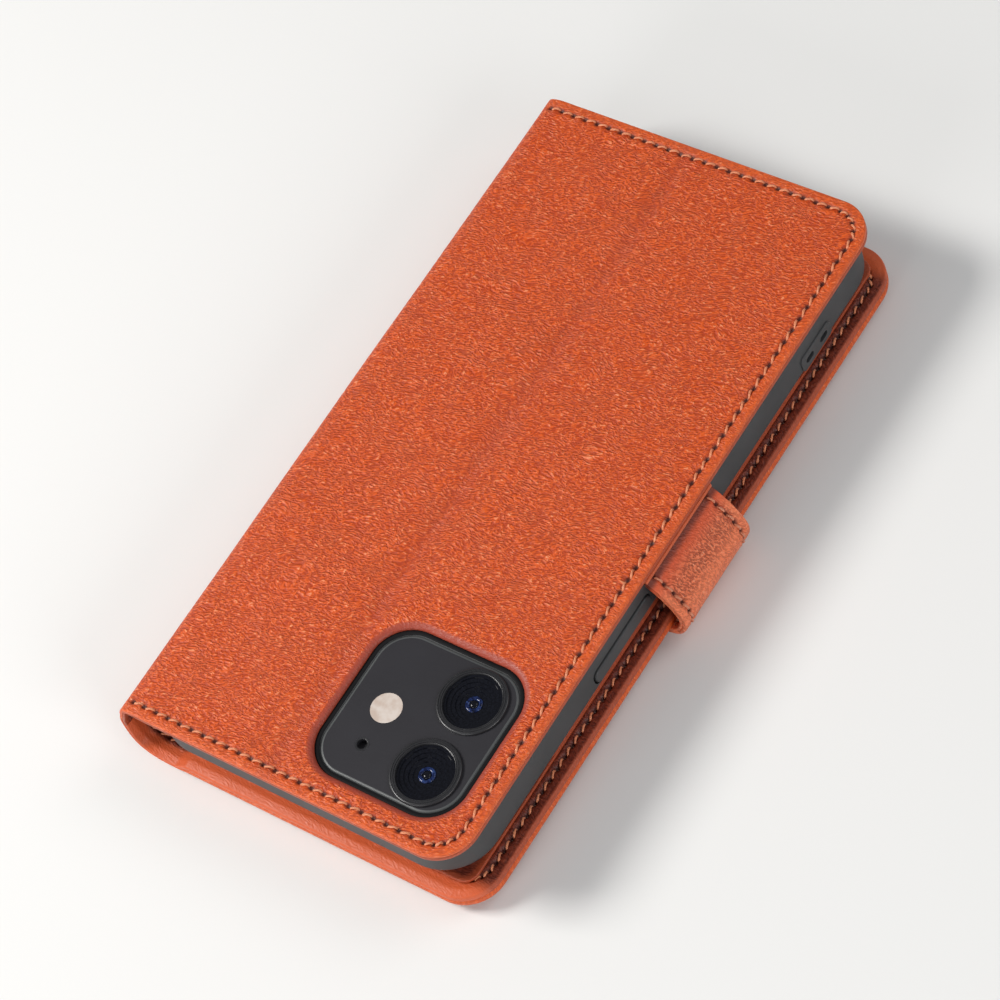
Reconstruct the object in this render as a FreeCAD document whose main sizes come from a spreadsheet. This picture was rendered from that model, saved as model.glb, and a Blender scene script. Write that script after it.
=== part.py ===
import FreeCAD
import Part
import Sketcher
import math
import os
import re

# Book-style phone wallet case, closed, lying on its front cover, with a handset in its shell.
# Case frame used by every sketch: X from the spine's outer face towards the free edge,
# Y along the length with the camera end at -Y, Z up from the front cover's outer face.
# Each body's Placement then moves the case frame to the origin below the middle of the case.

DIMENSIONS = {
    # overall
    "total_height": 18.2,
    "back_length": 152.0,
    "back_width": 79.0,
    "cover_length": 153.0,
    "cover_width": 80.2,
    "corner_radius": 8.0,
    # leather work
    "back_thickness": 2.0,
    "cover_thickness": 3.2,
    "skin": 0.9,
    "lining": 0.5,
    "turned_edge": 1.6,
    "edge_round": 0.6,
    "spine_thickness": 1.6,
    "spine_skin": 1.0,
    "fold_offset": 2.0,
    "fold_gap": 0.15,
    "crease_place": 36.5,
    "crease_width": 1.6,
    "crease_depth": 0.35,
    "board_clear": 0.1,
    "cover_board_thick": 1.4,
    "stitch_inset": 2.1,
    "thread_width": 0.5,
    "thread_proud": 0.2,
    # camera window in the back
    "window_left": 39.9,
    "window_near": 37.1,
    "window_width": 33.3,
    "window_length": 33.0,
    "window_corner": 7.8,
    "window_turn": 0.5,
    # pockets inside the front cover
    "cash_left": 11.2,
    "pocket_right": 76.6,
    "cash_half_length": 73.2,
    "card_half_length": 46.5,
    "first_card_mouth": 20.0,
    "card_step": 12.5,
    "pocket_sheet": 0.75,
    "pocket_hollow": 0.35,
    "pocket_seam": 2.4,
    "pocket_corner": 3.0,
    # flexible shell
    "shell_left": 3.7,
    "shell_width": 74.7,
    "shell_half_length": 74.9,
    "shell_corner": 10.5,
    "shell_floor": 7.2,
    "shell_lip": 0.4,
    "shell_lip_inset": 1.2,
    "shell_round": 1.6,
    "rim_wall": 1.15,
    "rim_gap": 0.2,
    "rim_height": 0.85,
    "rim_round": 0.35,
    "pad_round": 0.2,
    "key_round": 0.3,
    "plate_round": 0.4,
    # handset
    "phone_width": 71.5,
    "phone_half_length": 73.35,
    "phone_thick": 7.4,
    "phone_corner": 9.2,
    "screen_inset": 0.3,
    "socket_width": 9.0,
    "socket_height": 3.2,
    "socket_depth": 7.0,
    "socket_corner": 1.5,
    "glass_thick": 0.35,
    "plate_thick": 2.0,
    "plate_gap": 0.1,
    "lens_place": 63.35,
    "lens_pitch": 15.8,
    "lens_mid_y": 53.7,
    "lens_radius": 6.9,
    "lens_rim": 1.3,
    "lens_proud": 0.55,
    "lens_depth": 1.5,
    "lens_glass_thick": 2.0,
    "flash_place": 49.1,
    "flash_y": 53.7,
    "flash_radius": 3.1,
    "flash_thick": 0.8,
    "mic_y": 61.8,
    "mic_radius": 1.05,
    "mic_depth": 1.3,
    # keys of the shell
    "key_mid_height": 10.6,
    "key_height": 3.2,
    "key_proud": 0.35,
    "key_depth": 1.4,
    "key_clear": 0.35,
    "key_corner": 1.4,
    "wall_cut": 2.2,
    "side_key_length": 19.0,
    "side_key_y": 20.6,
    "volume_key_length": 9.6,
    "volume_up_y": 37.0,
    "volume_down_y": 24.6,
    "switch_y": 50.0,
    "switch_length": 6.6,
    # lanyard loop
    "lanyard_y": 49.2,
    "lanyard_pitch": 5.05,
    "lanyard_hole_length": 2.6,
    "lanyard_hole_height": 1.3,
    "lanyard_hole_corner": 0.64,
    "lanyard_height": 9.9,
    "pad_length": 10.6,
    "pad_height": 4.0,
    "pad_proud": 0.3,
    "pad_root": 0.5,
    "pad_corner": 1.2,
    # openings in the shell's end wall
    "end_cut": 3.0,
    "port_width": 13.0,
    "port_height": 5.5,
    "port_corner": 2.6,
    "speaker_offset": 17.0,
    "speaker_width": 12.0,
    "speaker_height": 2.5,
    "speaker_corner": 1.2,
    # clasp strap
    "strap_width": 23.0,
    "strap_y": 0.5,
    "strap_thick": 1.6,
    "strap_lining": 0.7,
    "strap_bow": 10.56,
    "strap_half_chord": 9.1,
    "strap_root": 80.1,
    "strap_reach": 85.3,
    "anchor_length": 22.0,
    "anchor_thick": 0.8,
    "tab_length": 27.0,
    "tab_thick": 2.0,
    "tab_clear": 0.3,
    "bend_gap": 1.0,
    "tab_corner": 7.0,
    "magnet_radius": 4.5,
    "magnet_thick": 0.8,
    "magnet_pitch": 11.0,
    "keeper_length": 22.0,
    "keeper_width": 14.0,
    "keeper_thick": 0.5,
    "keeper_inset": 4.0,
    "keeper_round": 2.0,
}

doc = FreeCAD.newDocument("PhoneWalletCase")
sizes = doc.addObject("Spreadsheet::Sheet", "Sizes")
for row, (alias, value) in enumerate(DIMENSIONS.items(), start=1):
    sizes.set(f"A{row}", alias)
    sizes.set(f"B{row}", str(value))
    sizes.setAlias(f"B{row}", alias)
doc.recompute()

CLOSE = 1e-4


def of_sheet(text):
    """Turns each word that names a sheet cell into a reference to that cell."""
    return re.sub("[a-z_]+", lambda word: f"Sizes.{word[0]}" if word[0] in DIMENSIONS else word[0], text)


def value_of(text):
    """The number that an expression over the sheet has now, for choosing edges."""
    terms = re.sub("[a-z_]+", lambda word: str(DIMENSIONS[word[0]]), text)
    return FreeCAD.Units.Quantity(terms).Value


class Piece:
    """One sub-part: a PartDesign body whose features are bound to the sheet."""

    made = []

    def __init__(self, name):
        self.body = doc.addObject("PartDesign::Body", name)
        self.body.Label = name
        self.body.setExpression("Placement.Base.x", of_sheet("-strap_reach / 2"))
        self.body.setExpression("Placement.Base.z", of_sheet("tab_thick + tab_clear"))
        self.count = 0
        Piece.made.append(self)

    def sketch(self, role, offset):
        """A sketch on one of the body's own planes, moved by three expressions."""
        self.count += 1
        plane = next(f for f in self.body.Origin.OriginFeatures if f.Role == role)
        sketch = self.body.newObject("Sketcher::SketchObject", f"{self.body.Name}_sketch{self.count}")
        sketch.AttachmentSupport = [(plane, "")]
        sketch.MapMode = "FlatFace"
        for axis, text in zip("xyz", offset):
            sketch.setExpression(f"AttachmentOffset.Base.{axis}", of_sheet(text))
        return sketch

    def rectangle(self, role, offset, width, height, corner):
        """A rectangle that starts at the sketch's origin, its corners round if corner is given."""
        sketch = self.sketch(role, offset)
        if corner is None:
            draw_rectangle(sketch)
        else:
            draw_round_rectangle(sketch)
            sketch.setExpression("Constraints.corner", of_sheet(corner))
        sketch.setExpression("Constraints.width", of_sheet(width))
        sketch.setExpression("Constraints.height", of_sheet(height))
        return sketch

    def circle(self, centre, radius):
        sketch = self.sketch("XY_Plane", centre)
        sketch.addGeometry(Part.Circle(FreeCAD.Vector(0, 0, 0), FreeCAD.Vector(0, 0, 1), 1), False)
        sketch.addConstraint(Sketcher.Constraint("Coincident", 0, 3, -1, 1))
        name_size(sketch, Sketcher.Constraint("Radius", 0, 1.0), "radius")
        sketch.setExpression("Constraints.radius", of_sheet(radius))
        return sketch

    def feature(self, kind, sketch, length):
        """A pad or a pocket of the sketch; a pocket has to take material away."""
        before = self.body.Tip.Shape.Volume if kind == "Pocket" else 0.0
        feature = self.body.newObject(f"PartDesign::{kind}", f"{self.body.Name}_{kind}{self.count}")
        feature.Profile = sketch
        feature.setExpression("Length", of_sheet(length))
        doc.recompute()
        if kind == "Pocket" and self.body.Tip.Shape.Volume > before - CLOSE:
            raise RuntimeError(f"{feature.Name} takes nothing away")

    def block(self, low, size, corner=None):
        """Adds a block whose low corner is low; corner rounds its upright edges."""
        self.feature("Pad", self.rectangle("XY_Plane", low, size[0], size[1], corner), size[2])

    def cut(self, low, size, corner=None):
        """Takes a block away; the pocket runs down from the block's top."""
        top = (low[0], low[1], f"({low[2]}) + ({size[2]})")
        self.feature("Pocket", self.rectangle("XY_Plane", top, size[0], size[1], corner), size[2])

    def block_along_x(self, low, size, corner=None):
        """Adds a block; corner rounds its edges along X."""
        outline = self.rectangle("YZ_Plane", (low[1], low[2], low[0]), size[1], size[2], corner)
        self.feature("Pad", outline, size[0])

    def cut_band(self, low, size, corner, band):
        """Takes away a round-cornered frame of the band's width; it runs down from low's height."""
        sketch = self.rectangle("XY_Plane", low, size[0], size[1], corner)
        draw_inner_loop(sketch)
        for name, text in (
            ("inner_left", band),
            ("inner_bottom", band),
            ("inner_width", f"{size[0]} - 2 * {band}"),
            ("inner_height", f"{size[1]} - 2 * {band}"),
            ("inner_corner", f"{corner} - {band}"),
        ):
            sketch.setExpression(f"Constraints.{name}", of_sheet(text))
        self.feature("Pocket", sketch, size[2])

    def cut_along_x(self, low, size, corner=None):
        """Takes a block away; the pocket runs towards -X from the block's far side."""
        face = (low[1], low[2], f"({low[0]}) + ({size[0]})")
        self.feature("Pocket", self.rectangle("YZ_Plane", face, size[1], size[2], corner), size[0])

    def cut_along_y(self, low, size, corner=None):
        """Takes a block away; the pocket runs towards +Y from the block's near side."""
        face = (low[0], low[2], f"-({low[1]})")
        self.feature("Pocket", self.rectangle("XZ_Plane", face, size[0], size[2], corner), size[1])

    def disc(self, centre, radius, height):
        self.feature("Pad", self.circle(centre, radius), height)

    def bore(self, centre, radius, depth):
        """Takes a cylinder away, its lower end at centre."""
        top = (centre[0], centre[1], f"({centre[2]}) + ({depth})")
        self.feature("Pocket", self.circle(top, radius), depth)

    def fillet(self, chosen, radius):
        """Rounds the edges whose box in the case frame chosen(box) accepts."""
        names = []
        for number, edge in enumerate(self.body.Tip.Shape.Edges, start=1):
            if chosen(edge.BoundBox):
                names.append(f"Edge{number}")
        base = self.body.Tip
        fillet = self.body.newObject("PartDesign::Fillet", f"{base.Name}_rounded")
        fillet.Base = (base, names)
        fillet.setExpression("Radius", of_sheet(radius))
        doc.recompute()

    def round_rim(self, level, radius):
        """Rounds every edge that lies flat at one height."""
        height = value_of(level)
        self.fillet(lambda box: abs(box.ZMin - height) < CLOSE and abs(box.ZMax - height) < CLOSE, radius)

    def round_side(self, place, radius):
        """Rounds every edge that lies in the upright plane at one place along X."""
        face = value_of(place)
        self.fillet(lambda box: abs(box.XMin - face) < CLOSE and abs(box.XMax - face) < CLOSE, radius)

    def round_free_corners(self, radius):
        """Rounds the two upright corners on the free-edge side."""
        reach = self.body.Tip.Shape.BoundBox.XMax - CLOSE
        self.fillet(lambda box: box.ZLength > CLOSE and box.XLength < CLOSE and box.XMax > reach, radius)

    def round_spine_corners(self, radius):
        """Rounds the two upright corners on the side towards the spine."""
        end = self.body.Tip.Shape.BoundBox.XMin + CLOSE
        self.fillet(lambda box: box.ZLength > CLOSE and box.XLength < CLOSE and box.XMax < end, radius)

    def round_outline(self, height, radius):
        """Rounds the outline's edges at one height, the side along the fold left square."""
        whole = self.body.Tip.Shape.BoundBox
        level = value_of(height)

        def chosen(box):
            flat = abs(box.ZMin - level) < CLOSE and abs(box.ZMax - level) < CLOSE
            on_end = box.YMax > whole.YMax - CLOSE or box.YMin < whole.YMin + CLOSE
            along_fold = box.XMax < whole.XMin + CLOSE
            return flat and (on_end or box.XMax > whole.XMax - CLOSE) and not along_fold

        self.fillet(chosen, radius)


def name_size(sketch, constraint, name):
    sketch.renameConstraint(sketch.addConstraint(constraint), name)


def draw_rectangle(sketch):
    corners = [FreeCAD.Vector(x, y, 0) for x, y in ((0, 0), (10, 0), (10, 6), (0, 6))]
    for start, end in zip(corners, corners[1:] + corners[:1]):
        sketch.addGeometry(Part.LineSegment(start, end), False)
    for side in range(4):
        sketch.addConstraint(Sketcher.Constraint("Coincident", side, 2, (side + 1) % 4, 1))
    for kind, side in (("Horizontal", 0), ("Vertical", 1), ("Horizontal", 2), ("Vertical", 3)):
        sketch.addConstraint(Sketcher.Constraint(kind, side))
    sketch.addConstraint(Sketcher.Constraint("Coincident", 0, 1, -1, 1))
    name_size(sketch, Sketcher.Constraint("DistanceX", 0, 1, 0, 2, 10.0), "width")
    name_size(sketch, Sketcher.Constraint("DistanceY", 1, 1, 1, 2, 6.0), "height")


def draw_loop(sketch, left, bottom, right, top, radius):
    """Bottom side first, then anticlockwise: side, corner arc, side, corner arc and so on."""
    first = len(sketch.Geometry)
    west, east, south, north = left + radius, right - radius, bottom + radius, top - radius
    sides = (
        ((west, bottom), (east, bottom)),
        ((right, south), (right, north)),
        ((east, top), (west, top)),
        ((left, north), (left, south)),
    )
    centres = ((east, south), (east, north), (west, north), (west, south))
    for number, ((start, end), centre) in enumerate(zip(sides, centres)):
        sketch.addGeometry(Part.LineSegment(FreeCAD.Vector(*start, 0), FreeCAD.Vector(*end, 0)), False)
        circle = Part.Circle(FreeCAD.Vector(*centre, 0), FreeCAD.Vector(0, 0, 1), radius)
        turn = (number - 1) * math.pi / 2
        sketch.addGeometry(Part.ArcOfCircle(circle, turn, turn + math.pi / 2), False)
    for item in range(8):
        sketch.addConstraint(Sketcher.Constraint("Tangent", first + item, 2, first + (item + 1) % 8, 1))
    for kind, side in (("Horizontal", 0), ("Vertical", 2), ("Horizontal", 4), ("Vertical", 6)):
        sketch.addConstraint(Sketcher.Constraint(kind, first + side))
    for arc in (3, 5, 7):
        sketch.addConstraint(Sketcher.Constraint("Equal", first + 1, first + arc))
    return first


def draw_round_rectangle(sketch):
    """A loop whose left and bottom sides lie on the sketch's axes."""
    right, top, radius = 10.0, 6.0, 1.0
    draw_loop(sketch, 0, 0, right, top, radius)
    sketch.addConstraint(Sketcher.Constraint("PointOnObject", 0, 1, -1))
    sketch.addConstraint(Sketcher.Constraint("PointOnObject", 6, 1, -2))
    name_size(sketch, Sketcher.Constraint("DistanceX", 6, 1, 2, 1, right), "width")
    name_size(sketch, Sketcher.Constraint("DistanceY", 0, 1, 4, 1, top), "height")
    name_size(sketch, Sketcher.Constraint("Radius", 1, radius), "corner")


def draw_inner_loop(sketch):
    """A second loop inside a round rectangle, placed from the sketch's origin."""
    edge, width, height, radius = 0.5, 9.0, 5.0, 0.5
    first = draw_loop(sketch, edge, edge, edge + width, edge + height, radius)
    name_size(sketch, Sketcher.Constraint("DistanceX", -1, 1, first + 6, 1, edge), "inner_left")
    name_size(sketch, Sketcher.Constraint("DistanceY", -1, 1, first, 1, edge), "inner_bottom")
    name_size(sketch, Sketcher.Constraint("DistanceX", first + 6, 1, first + 2, 1, width), "inner_width")
    name_size(sketch, Sketcher.Constraint("DistanceY", first, 1, first + 4, 1, height), "inner_height")
    name_size(sketch, Sketcher.Constraint("Radius", first + 1, radius), "inner_corner")


def leaf(name, left, right, length, low, high, corner):
    """A flat sheet, centred on Y, square along the fold and round at the free corners."""
    sheet = Piece(name)
    sheet.block((left, f"-({length}) / 2", low), (f"{right} - ({left})", length, f"{high} - ({low})"))
    sheet.round_free_corners(corner)
    return sheet


def thread_rows(name, left, right, length, face, corner):
    """Thread along the two ends and the free edge, lying on a face."""
    inset = "stitch_inset"
    top = f"{face} + thread_proud"
    outside = f"{length} - 2 * {inset}"
    thread = leaf(name, left, f"{right} - {inset}", outside, face, top, f"{corner} - {inset}")
    thread.cut(
        (f"{left} - corner_radius", f"{inset} + thread_width - ({length}) / 2", face),
        (
            f"{right} - {inset} - thread_width - ({left}) + corner_radius",
            f"{length} - 2 * {inset} - 2 * thread_width",
            "thread_proud + 1",
        ),
        f"{corner} - {inset} - thread_width",
    )


# ---------------------------------------------------------------- front cover
FOLD = "fold_offset + fold_gap"
SEAM = "cover_thickness / 2"
BOARD_LEFT = "fold_offset + 2 * turned_edge"
INNER_CORNER = "corner_radius - turned_edge"
COVER_BOARD_TOP = "skin + cover_board_thick"


def hollow(sheet, left, right, length, low, high):
    """Room for the board, a turned edge's width inside the outline."""
    sheet.cut(
        (left, f"turned_edge - ({length}) / 2", low),
        (f"{right} - turned_edge - ({left})", f"{length} - 2 * turned_edge", f"{high} - ({low})"),
        INNER_CORNER,
    )


def filling(name, left, right, length, low, high):
    """A sheet that fills the hollow with a little room all round."""
    sheet = Piece(name)
    sheet.block(
        (f"{left} + board_clear", f"turned_edge + board_clear - ({length}) / 2", low),
        (
            f"{right} - turned_edge - ({left}) - 2 * board_clear",
            f"{length} - 2 * turned_edge - 2 * board_clear",
            f"{high} - ({low})",
        ),
        f"{INNER_CORNER} - board_clear",
    )
    return sheet


def keeper_corner(clearance):
    """Low corner of the steel plate, over the magnets of the strap's tab."""
    return (
        f"strap_root - tab_length + keeper_inset - {clearance}",
        f"strap_y - keeper_length / 2 - {clearance}",
        "skin",
    )


def front_cover():
    outer = leaf("front_outer_leather", FOLD, "cover_width", "cover_length", "0", SEAM, "corner_radius")
    hollow(outer, BOARD_LEFT, "cover_width", "cover_length", "skin", SEAM)
    outer.round_outline("0", "edge_round")

    top = "cover_thickness"
    lining = leaf("front_lining", FOLD, "cover_width", "cover_length", SEAM, top, "corner_radius")
    hollow(lining, BOARD_LEFT, "cover_width", "cover_length", SEAM, COVER_BOARD_TOP)
    lining.round_outline(top, "edge_round")

    stiffener = filling("front_board", BOARD_LEFT, "cover_width", "cover_length", "skin", COVER_BOARD_TOP)
    stiffener.cut(
        keeper_corner("board_clear"),
        ("keeper_width + 2 * board_clear", "keeper_length + 2 * board_clear", "keeper_thick"),
        "keeper_round",
    )
    keeper = Piece("keeper_plate")
    keeper.block(keeper_corner("0"), ("keeper_width", "keeper_length", "keeper_thick"), "keeper_round")

    start = "fold_offset + 1"
    thread_rows("front_stitching", start, "cover_width", "cover_length", top, "corner_radius")


def pocket(name, left, half_length, level):
    """A sheet sewn down on three sides; its mouth is the side that faces the spine."""
    bottom = f"cover_thickness + thread_proud + {level} * pocket_sheet"
    sheet = Piece(name)
    sheet.block(
        (left, f"-{half_length}", bottom),
        (f"pocket_right - ({left})", f"2 * {half_length}", "pocket_sheet"),
        "pocket_corner",
    )
    width = f"pocket_right - pocket_seam - ({left}) + 1"
    sheet.cut(
        (f"{left} - 1", f"pocket_seam - {half_length}", bottom),
        (width, f"2 * {half_length} - 2 * pocket_seam", "pocket_hollow"),
    )


def pockets():
    pocket("cash_pocket", "cash_left", "cash_half_length", 0)
    for number in range(1, 4):
        mouth = f"first_card_mouth + {number - 1} * card_step"
        pocket(f"card_slot_{number}", mouth, "card_half_length", number)


# ---------------------------------------------------------------- spine
def spine():
    """Two sheets between the folds; each fold turns about a line inside its corner."""
    rise = f"total_height - 2 * ({FOLD})"
    for name, inner, thick in (
        ("spine_outer_leather", "0", "spine_skin"),
        ("spine_lining", "spine_skin", "spine_thickness - spine_skin"),
    ):
        sheet = Piece(name)
        sheet.block((inner, "-back_length / 2", FOLD), (thick, "back_length", rise))


# ---------------------------------------------------------------- back panel
BACK_BOTTOM = "total_height - back_thickness"
BACK_INSIDE = "total_height - skin"
BACK_LEFT = "fold_offset + turned_edge"


def cut_window(sheet, extra):
    """The camera window through the whole sheet, wider by extra on each side."""
    sheet.cut(
        (f"window_left - {extra}", f"-window_near - window_length - {extra}", f"{BACK_BOTTOM} - 1"),
        (f"window_width + 2 * {extra}", f"window_length + 2 * {extra}", "back_thickness + 2"),
        f"window_corner + {extra}",
    )


def back_panel():
    name = "back_outer_leather"
    outer = leaf(name, FOLD, "back_width", "back_length", BACK_BOTTOM, "total_height", "corner_radius")
    hollow(outer, BACK_LEFT, "back_width", "back_length", BACK_BOTTOM, BACK_INSIDE)
    outer.round_outline("total_height", "edge_round")
    inset = "stitch_inset"
    outer.cut_band(
        (f"{FOLD} - corner_radius", f"{inset} - back_length / 2", "total_height"),
        (f"back_width - {inset} - ({FOLD}) + corner_radius", f"back_length - 2 * {inset}", "thread_proud"),
        f"corner_radius - {inset}",
        "thread_width",
    )
    cut_window(outer, "0")
    outer.cut(
        ("crease_place - crease_width / 2", "turned_edge - back_length / 2", "total_height - crease_depth"),
        ("crease_width", "back_length - 2 * turned_edge", "crease_depth + 1"),
    )

    lining_top = f"{BACK_BOTTOM} + lining"
    lining = filling("back_lining", BACK_LEFT, "back_width", "back_length", BACK_BOTTOM, lining_top)
    cut_window(lining, "0")

    inner_length = "back_length - 2 * turned_edge - 2 * board_clear"
    inner_right = "back_width - turned_edge - board_clear"
    corner = f"{INNER_CORNER} - board_clear"
    hinge_edge = "crease_place + crease_width"
    name = "back_board_fixed"
    fixed = leaf(name, hinge_edge, inner_right, inner_length, lining_top, BACK_INSIDE, corner)
    cut_window(fixed, "window_turn")
    flap = Piece("back_board_flap")
    width = f"crease_place - crease_width - ({BACK_LEFT}) - board_clear"
    flap.block(
        (f"{BACK_LEFT} + board_clear", f"-({inner_length}) / 2", lining_top),
        (width, inner_length, f"{BACK_INSIDE} - ({lining_top})"),
    )
    flap.round_spine_corners(corner)
    start = "fold_offset + 1"
    face = "total_height - thread_proud"
    thread_rows("back_stitching", start, "back_width", "back_length", face, "corner_radius")


# ---------------------------------------------------------------- flexible shell
SHELL_RIGHT = "shell_left + shell_width"
PHONE_LEFT = "shell_left + (shell_width - phone_width) / 2"
PHONE_FRONT = "shell_floor + shell_lip"
PHONE_BACK = f"{PHONE_FRONT} + phone_thick"
PHONE_MIDDLE = f"{PHONE_FRONT} + phone_thick / 2"
RIM_LEFT = "window_left + rim_gap"
RIM_NEAR = "-window_near - window_length + rim_gap"
PLATE_INSET = "rim_gap + rim_wall + plate_gap"


def key_slot(shell, wall, centre_y, length):
    """An opening for a key through the side wall whose outer face is at wall."""
    shell.cut_along_x(
        (
            f"{wall} - wall_cut",
            f"-{centre_y} - {length} / 2 - key_clear",
            "key_mid_height - key_height / 2 - key_clear",
        ),
        ("2 * wall_cut", f"{length} + 2 * key_clear", "key_height + 2 * key_clear"),
        "key_height / 2",
    )


def end_opening(shell, offset, width, height, corner):
    """An opening through the shell's +Y end wall, offset along X from the handset's middle."""
    shell.cut_along_y(
        (
            f"{PHONE_LEFT} + phone_width / 2 + {offset} - {width} / 2",
            "phone_half_length - 0.5",
            f"{PHONE_MIDDLE} - {height} / 2",
        ),
        (width, "end_cut", height),
        corner,
    )


def shell():
    tpu = Piece("tpu_shell")
    tpu.block(
        ("shell_left", "-shell_half_length", "shell_floor"),
        ("shell_width", "2 * shell_half_length", f"{BACK_BOTTOM} - shell_floor"),
        "shell_corner",
    )
    tpu.round_rim("shell_floor", "shell_round")
    tpu.round_rim(BACK_BOTTOM, "shell_round")
    lip = "shell_lip_inset"
    tpu.cut(
        (f"{PHONE_LEFT} + {lip}", f"{lip} - phone_half_length", "shell_floor - 1"),
        (f"phone_width - 2 * {lip}", f"2 * phone_half_length - 2 * {lip}", "shell_lip + 1"),
        f"phone_corner - {lip}",
    )
    tpu.cut(
        (PHONE_LEFT, "-phone_half_length", PHONE_FRONT),
        ("phone_width", "2 * phone_half_length", "phone_thick"),
        "phone_corner",
    )
    tpu.block(
        (RIM_LEFT, RIM_NEAR, PHONE_BACK),
        (
            "window_width - 2 * rim_gap",
            "window_length - 2 * rim_gap",
            f"{BACK_BOTTOM} + rim_height - ({PHONE_BACK})",
        ),
        "window_corner - rim_gap",
    )
    tpu.cut(
        (f"{RIM_LEFT} + rim_wall", f"{RIM_NEAR} + rim_wall", f"{PHONE_BACK} - 1"),
        (
            "window_width - 2 * rim_gap - 2 * rim_wall",
            "window_length - 2 * rim_gap - 2 * rim_wall",
            "rim_height + 4",
        ),
        "window_corner - rim_gap - rim_wall",
    )
    tpu.round_rim(f"{BACK_BOTTOM} + rim_height", "rim_round")
    tpu.block_along_x(
        (f"{SHELL_RIGHT} - pad_root", "lanyard_y - pad_length / 2", "lanyard_height - pad_height / 2"),
        ("pad_proud + pad_root", "pad_length", "pad_height"),
        "pad_corner",
    )
    tpu.round_side(f"{SHELL_RIGHT} + pad_proud", "pad_round")
    for side in (-1, 1):
        tpu.cut_along_x(
            (
                f"{SHELL_RIGHT} - wall_cut",
                f"lanyard_y + {side} * lanyard_pitch / 2 - lanyard_hole_length / 2",
                "lanyard_height - lanyard_hole_height / 2",
            ),
            ("2 * wall_cut", "lanyard_hole_length", "lanyard_hole_height"),
            "lanyard_hole_corner",
        )
    key_slot(tpu, SHELL_RIGHT, "side_key_y", "side_key_length")
    for centre_y, length in (
        ("volume_up_y", "volume_key_length"),
        ("volume_down_y", "volume_key_length"),
        ("switch_y", "switch_length"),
    ):
        key_slot(tpu, "shell_left", centre_y, length)
    tpu.cut(
        (
            "strap_root - anchor_length - board_clear",
            "strap_y - strap_width / 2 - board_clear",
            f"{BACK_BOTTOM} - anchor_thick",
        ),
        ("anchor_length", "strap_width + 2 * board_clear", "anchor_thick + 1"),
    )
    end_opening(tpu, "0", "port_width", "port_height", "port_corner")
    for side in (-1, 1):
        end_opening(tpu, f"{side} * speaker_offset", "speaker_width", "speaker_height", "speaker_corner")


def key(name, left, centre_y, length, face):
    """A moulded key whose rounded face, at face, stands a little proud of the shell's wall."""
    piece = Piece(name)
    piece.block_along_x(
        (left, f"-{centre_y} - {length} / 2", "key_mid_height - key_height / 2"),
        ("key_depth", length, "key_height"),
        "key_corner",
    )
    piece.round_side(face, "key_round")


def keys():
    outside = f"{SHELL_RIGHT} + key_proud"
    key("side_button", f"{outside} - key_depth", "side_key_y", "side_key_length", outside)
    outside = "shell_left - key_proud"
    key("volume_up_button", outside, "volume_up_y", "volume_key_length", outside)
    key("volume_down_button", outside, "volume_down_y", "volume_key_length", outside)


# ---------------------------------------------------------------- handset
PLATE_LEFT = f"window_left + {PLATE_INSET}"
PLATE_NEAR = f"-window_near - window_length + {PLATE_INSET}"
PLATE_TOP = f"{PHONE_BACK} + plate_thick"
FLASH_BOTTOM = f"{PLATE_TOP} - flash_thick"
LENS_BOTTOM = f"{PLATE_TOP} - lens_depth"


def lens_centre(side, height):
    return ("lens_place", f"-lens_mid_y + {side} * lens_pitch / 2", height)


def handset():
    body = Piece("phone_body")
    body.block(
        (PHONE_LEFT, "-phone_half_length", f"{PHONE_FRONT} + glass_thick"),
        ("phone_width", "2 * phone_half_length", "phone_thick - glass_thick"),
        "phone_corner",
    )
    body.cut_along_y(
        (
            f"{PHONE_LEFT} + phone_width / 2 - socket_width / 2",
            "phone_half_length - socket_depth",
            f"{PHONE_MIDDLE} - socket_height / 2",
        ),
        ("socket_width", "socket_depth + 1", "socket_height"),
        "socket_corner",
    )
    screen = Piece("phone_screen")
    screen.block(
        (f"{PHONE_LEFT} + screen_inset", "screen_inset - phone_half_length", PHONE_FRONT),
        ("phone_width - 2 * screen_inset", "2 * phone_half_length - 2 * screen_inset", "glass_thick"),
        "phone_corner - screen_inset",
    )
    plate = Piece("camera_plate")
    plate.block(
        (PLATE_LEFT, PLATE_NEAR, PHONE_BACK),
        (f"window_width - 2 * ({PLATE_INSET})", f"window_length - 2 * ({PLATE_INSET})", "plate_thick"),
        f"window_corner - ({PLATE_INSET})",
    )
    plate.round_rim(PLATE_TOP, "plate_round")
    plate.bore(("flash_place", "-mic_y", f"{PLATE_TOP} - mic_depth"), "mic_radius", "plate_thick")
    plate.bore(("flash_place", "-flash_y", FLASH_BOTTOM), "flash_radius", "plate_thick")
    for side in (-1, 1):
        plate.bore(lens_centre(side, LENS_BOTTOM), "lens_radius - lens_rim", "plate_thick")

    flash = Piece("flash_window")
    flash.disc(("flash_place", "-flash_y", FLASH_BOTTOM), "flash_radius", "flash_thick")
    for name, side in (("main", -1), ("wide", 1)):
        ring = Piece(f"{name}_lens_ring")
        ring.disc(lens_centre(side, PLATE_TOP), "lens_radius", "lens_proud")
        ring.bore(lens_centre(side, f"{PLATE_TOP} - 1"), "lens_radius - lens_rim", "lens_proud + 2")
        glass = Piece(f"{name}_lens_glass")
        glass.disc(lens_centre(side, LENS_BOTTOM), "lens_radius - lens_rim", "lens_glass_thick")


# ---------------------------------------------------------------- clasp strap
STRAP_OUTER = "strap_bow"
STRAP_BETWEEN = "strap_bow - strap_thick + strap_lining"
STRAP_INNER = "strap_bow - strap_thick"
STRAP_MIDDLE = f"{BACK_BOTTOM} - strap_half_chord"


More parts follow.
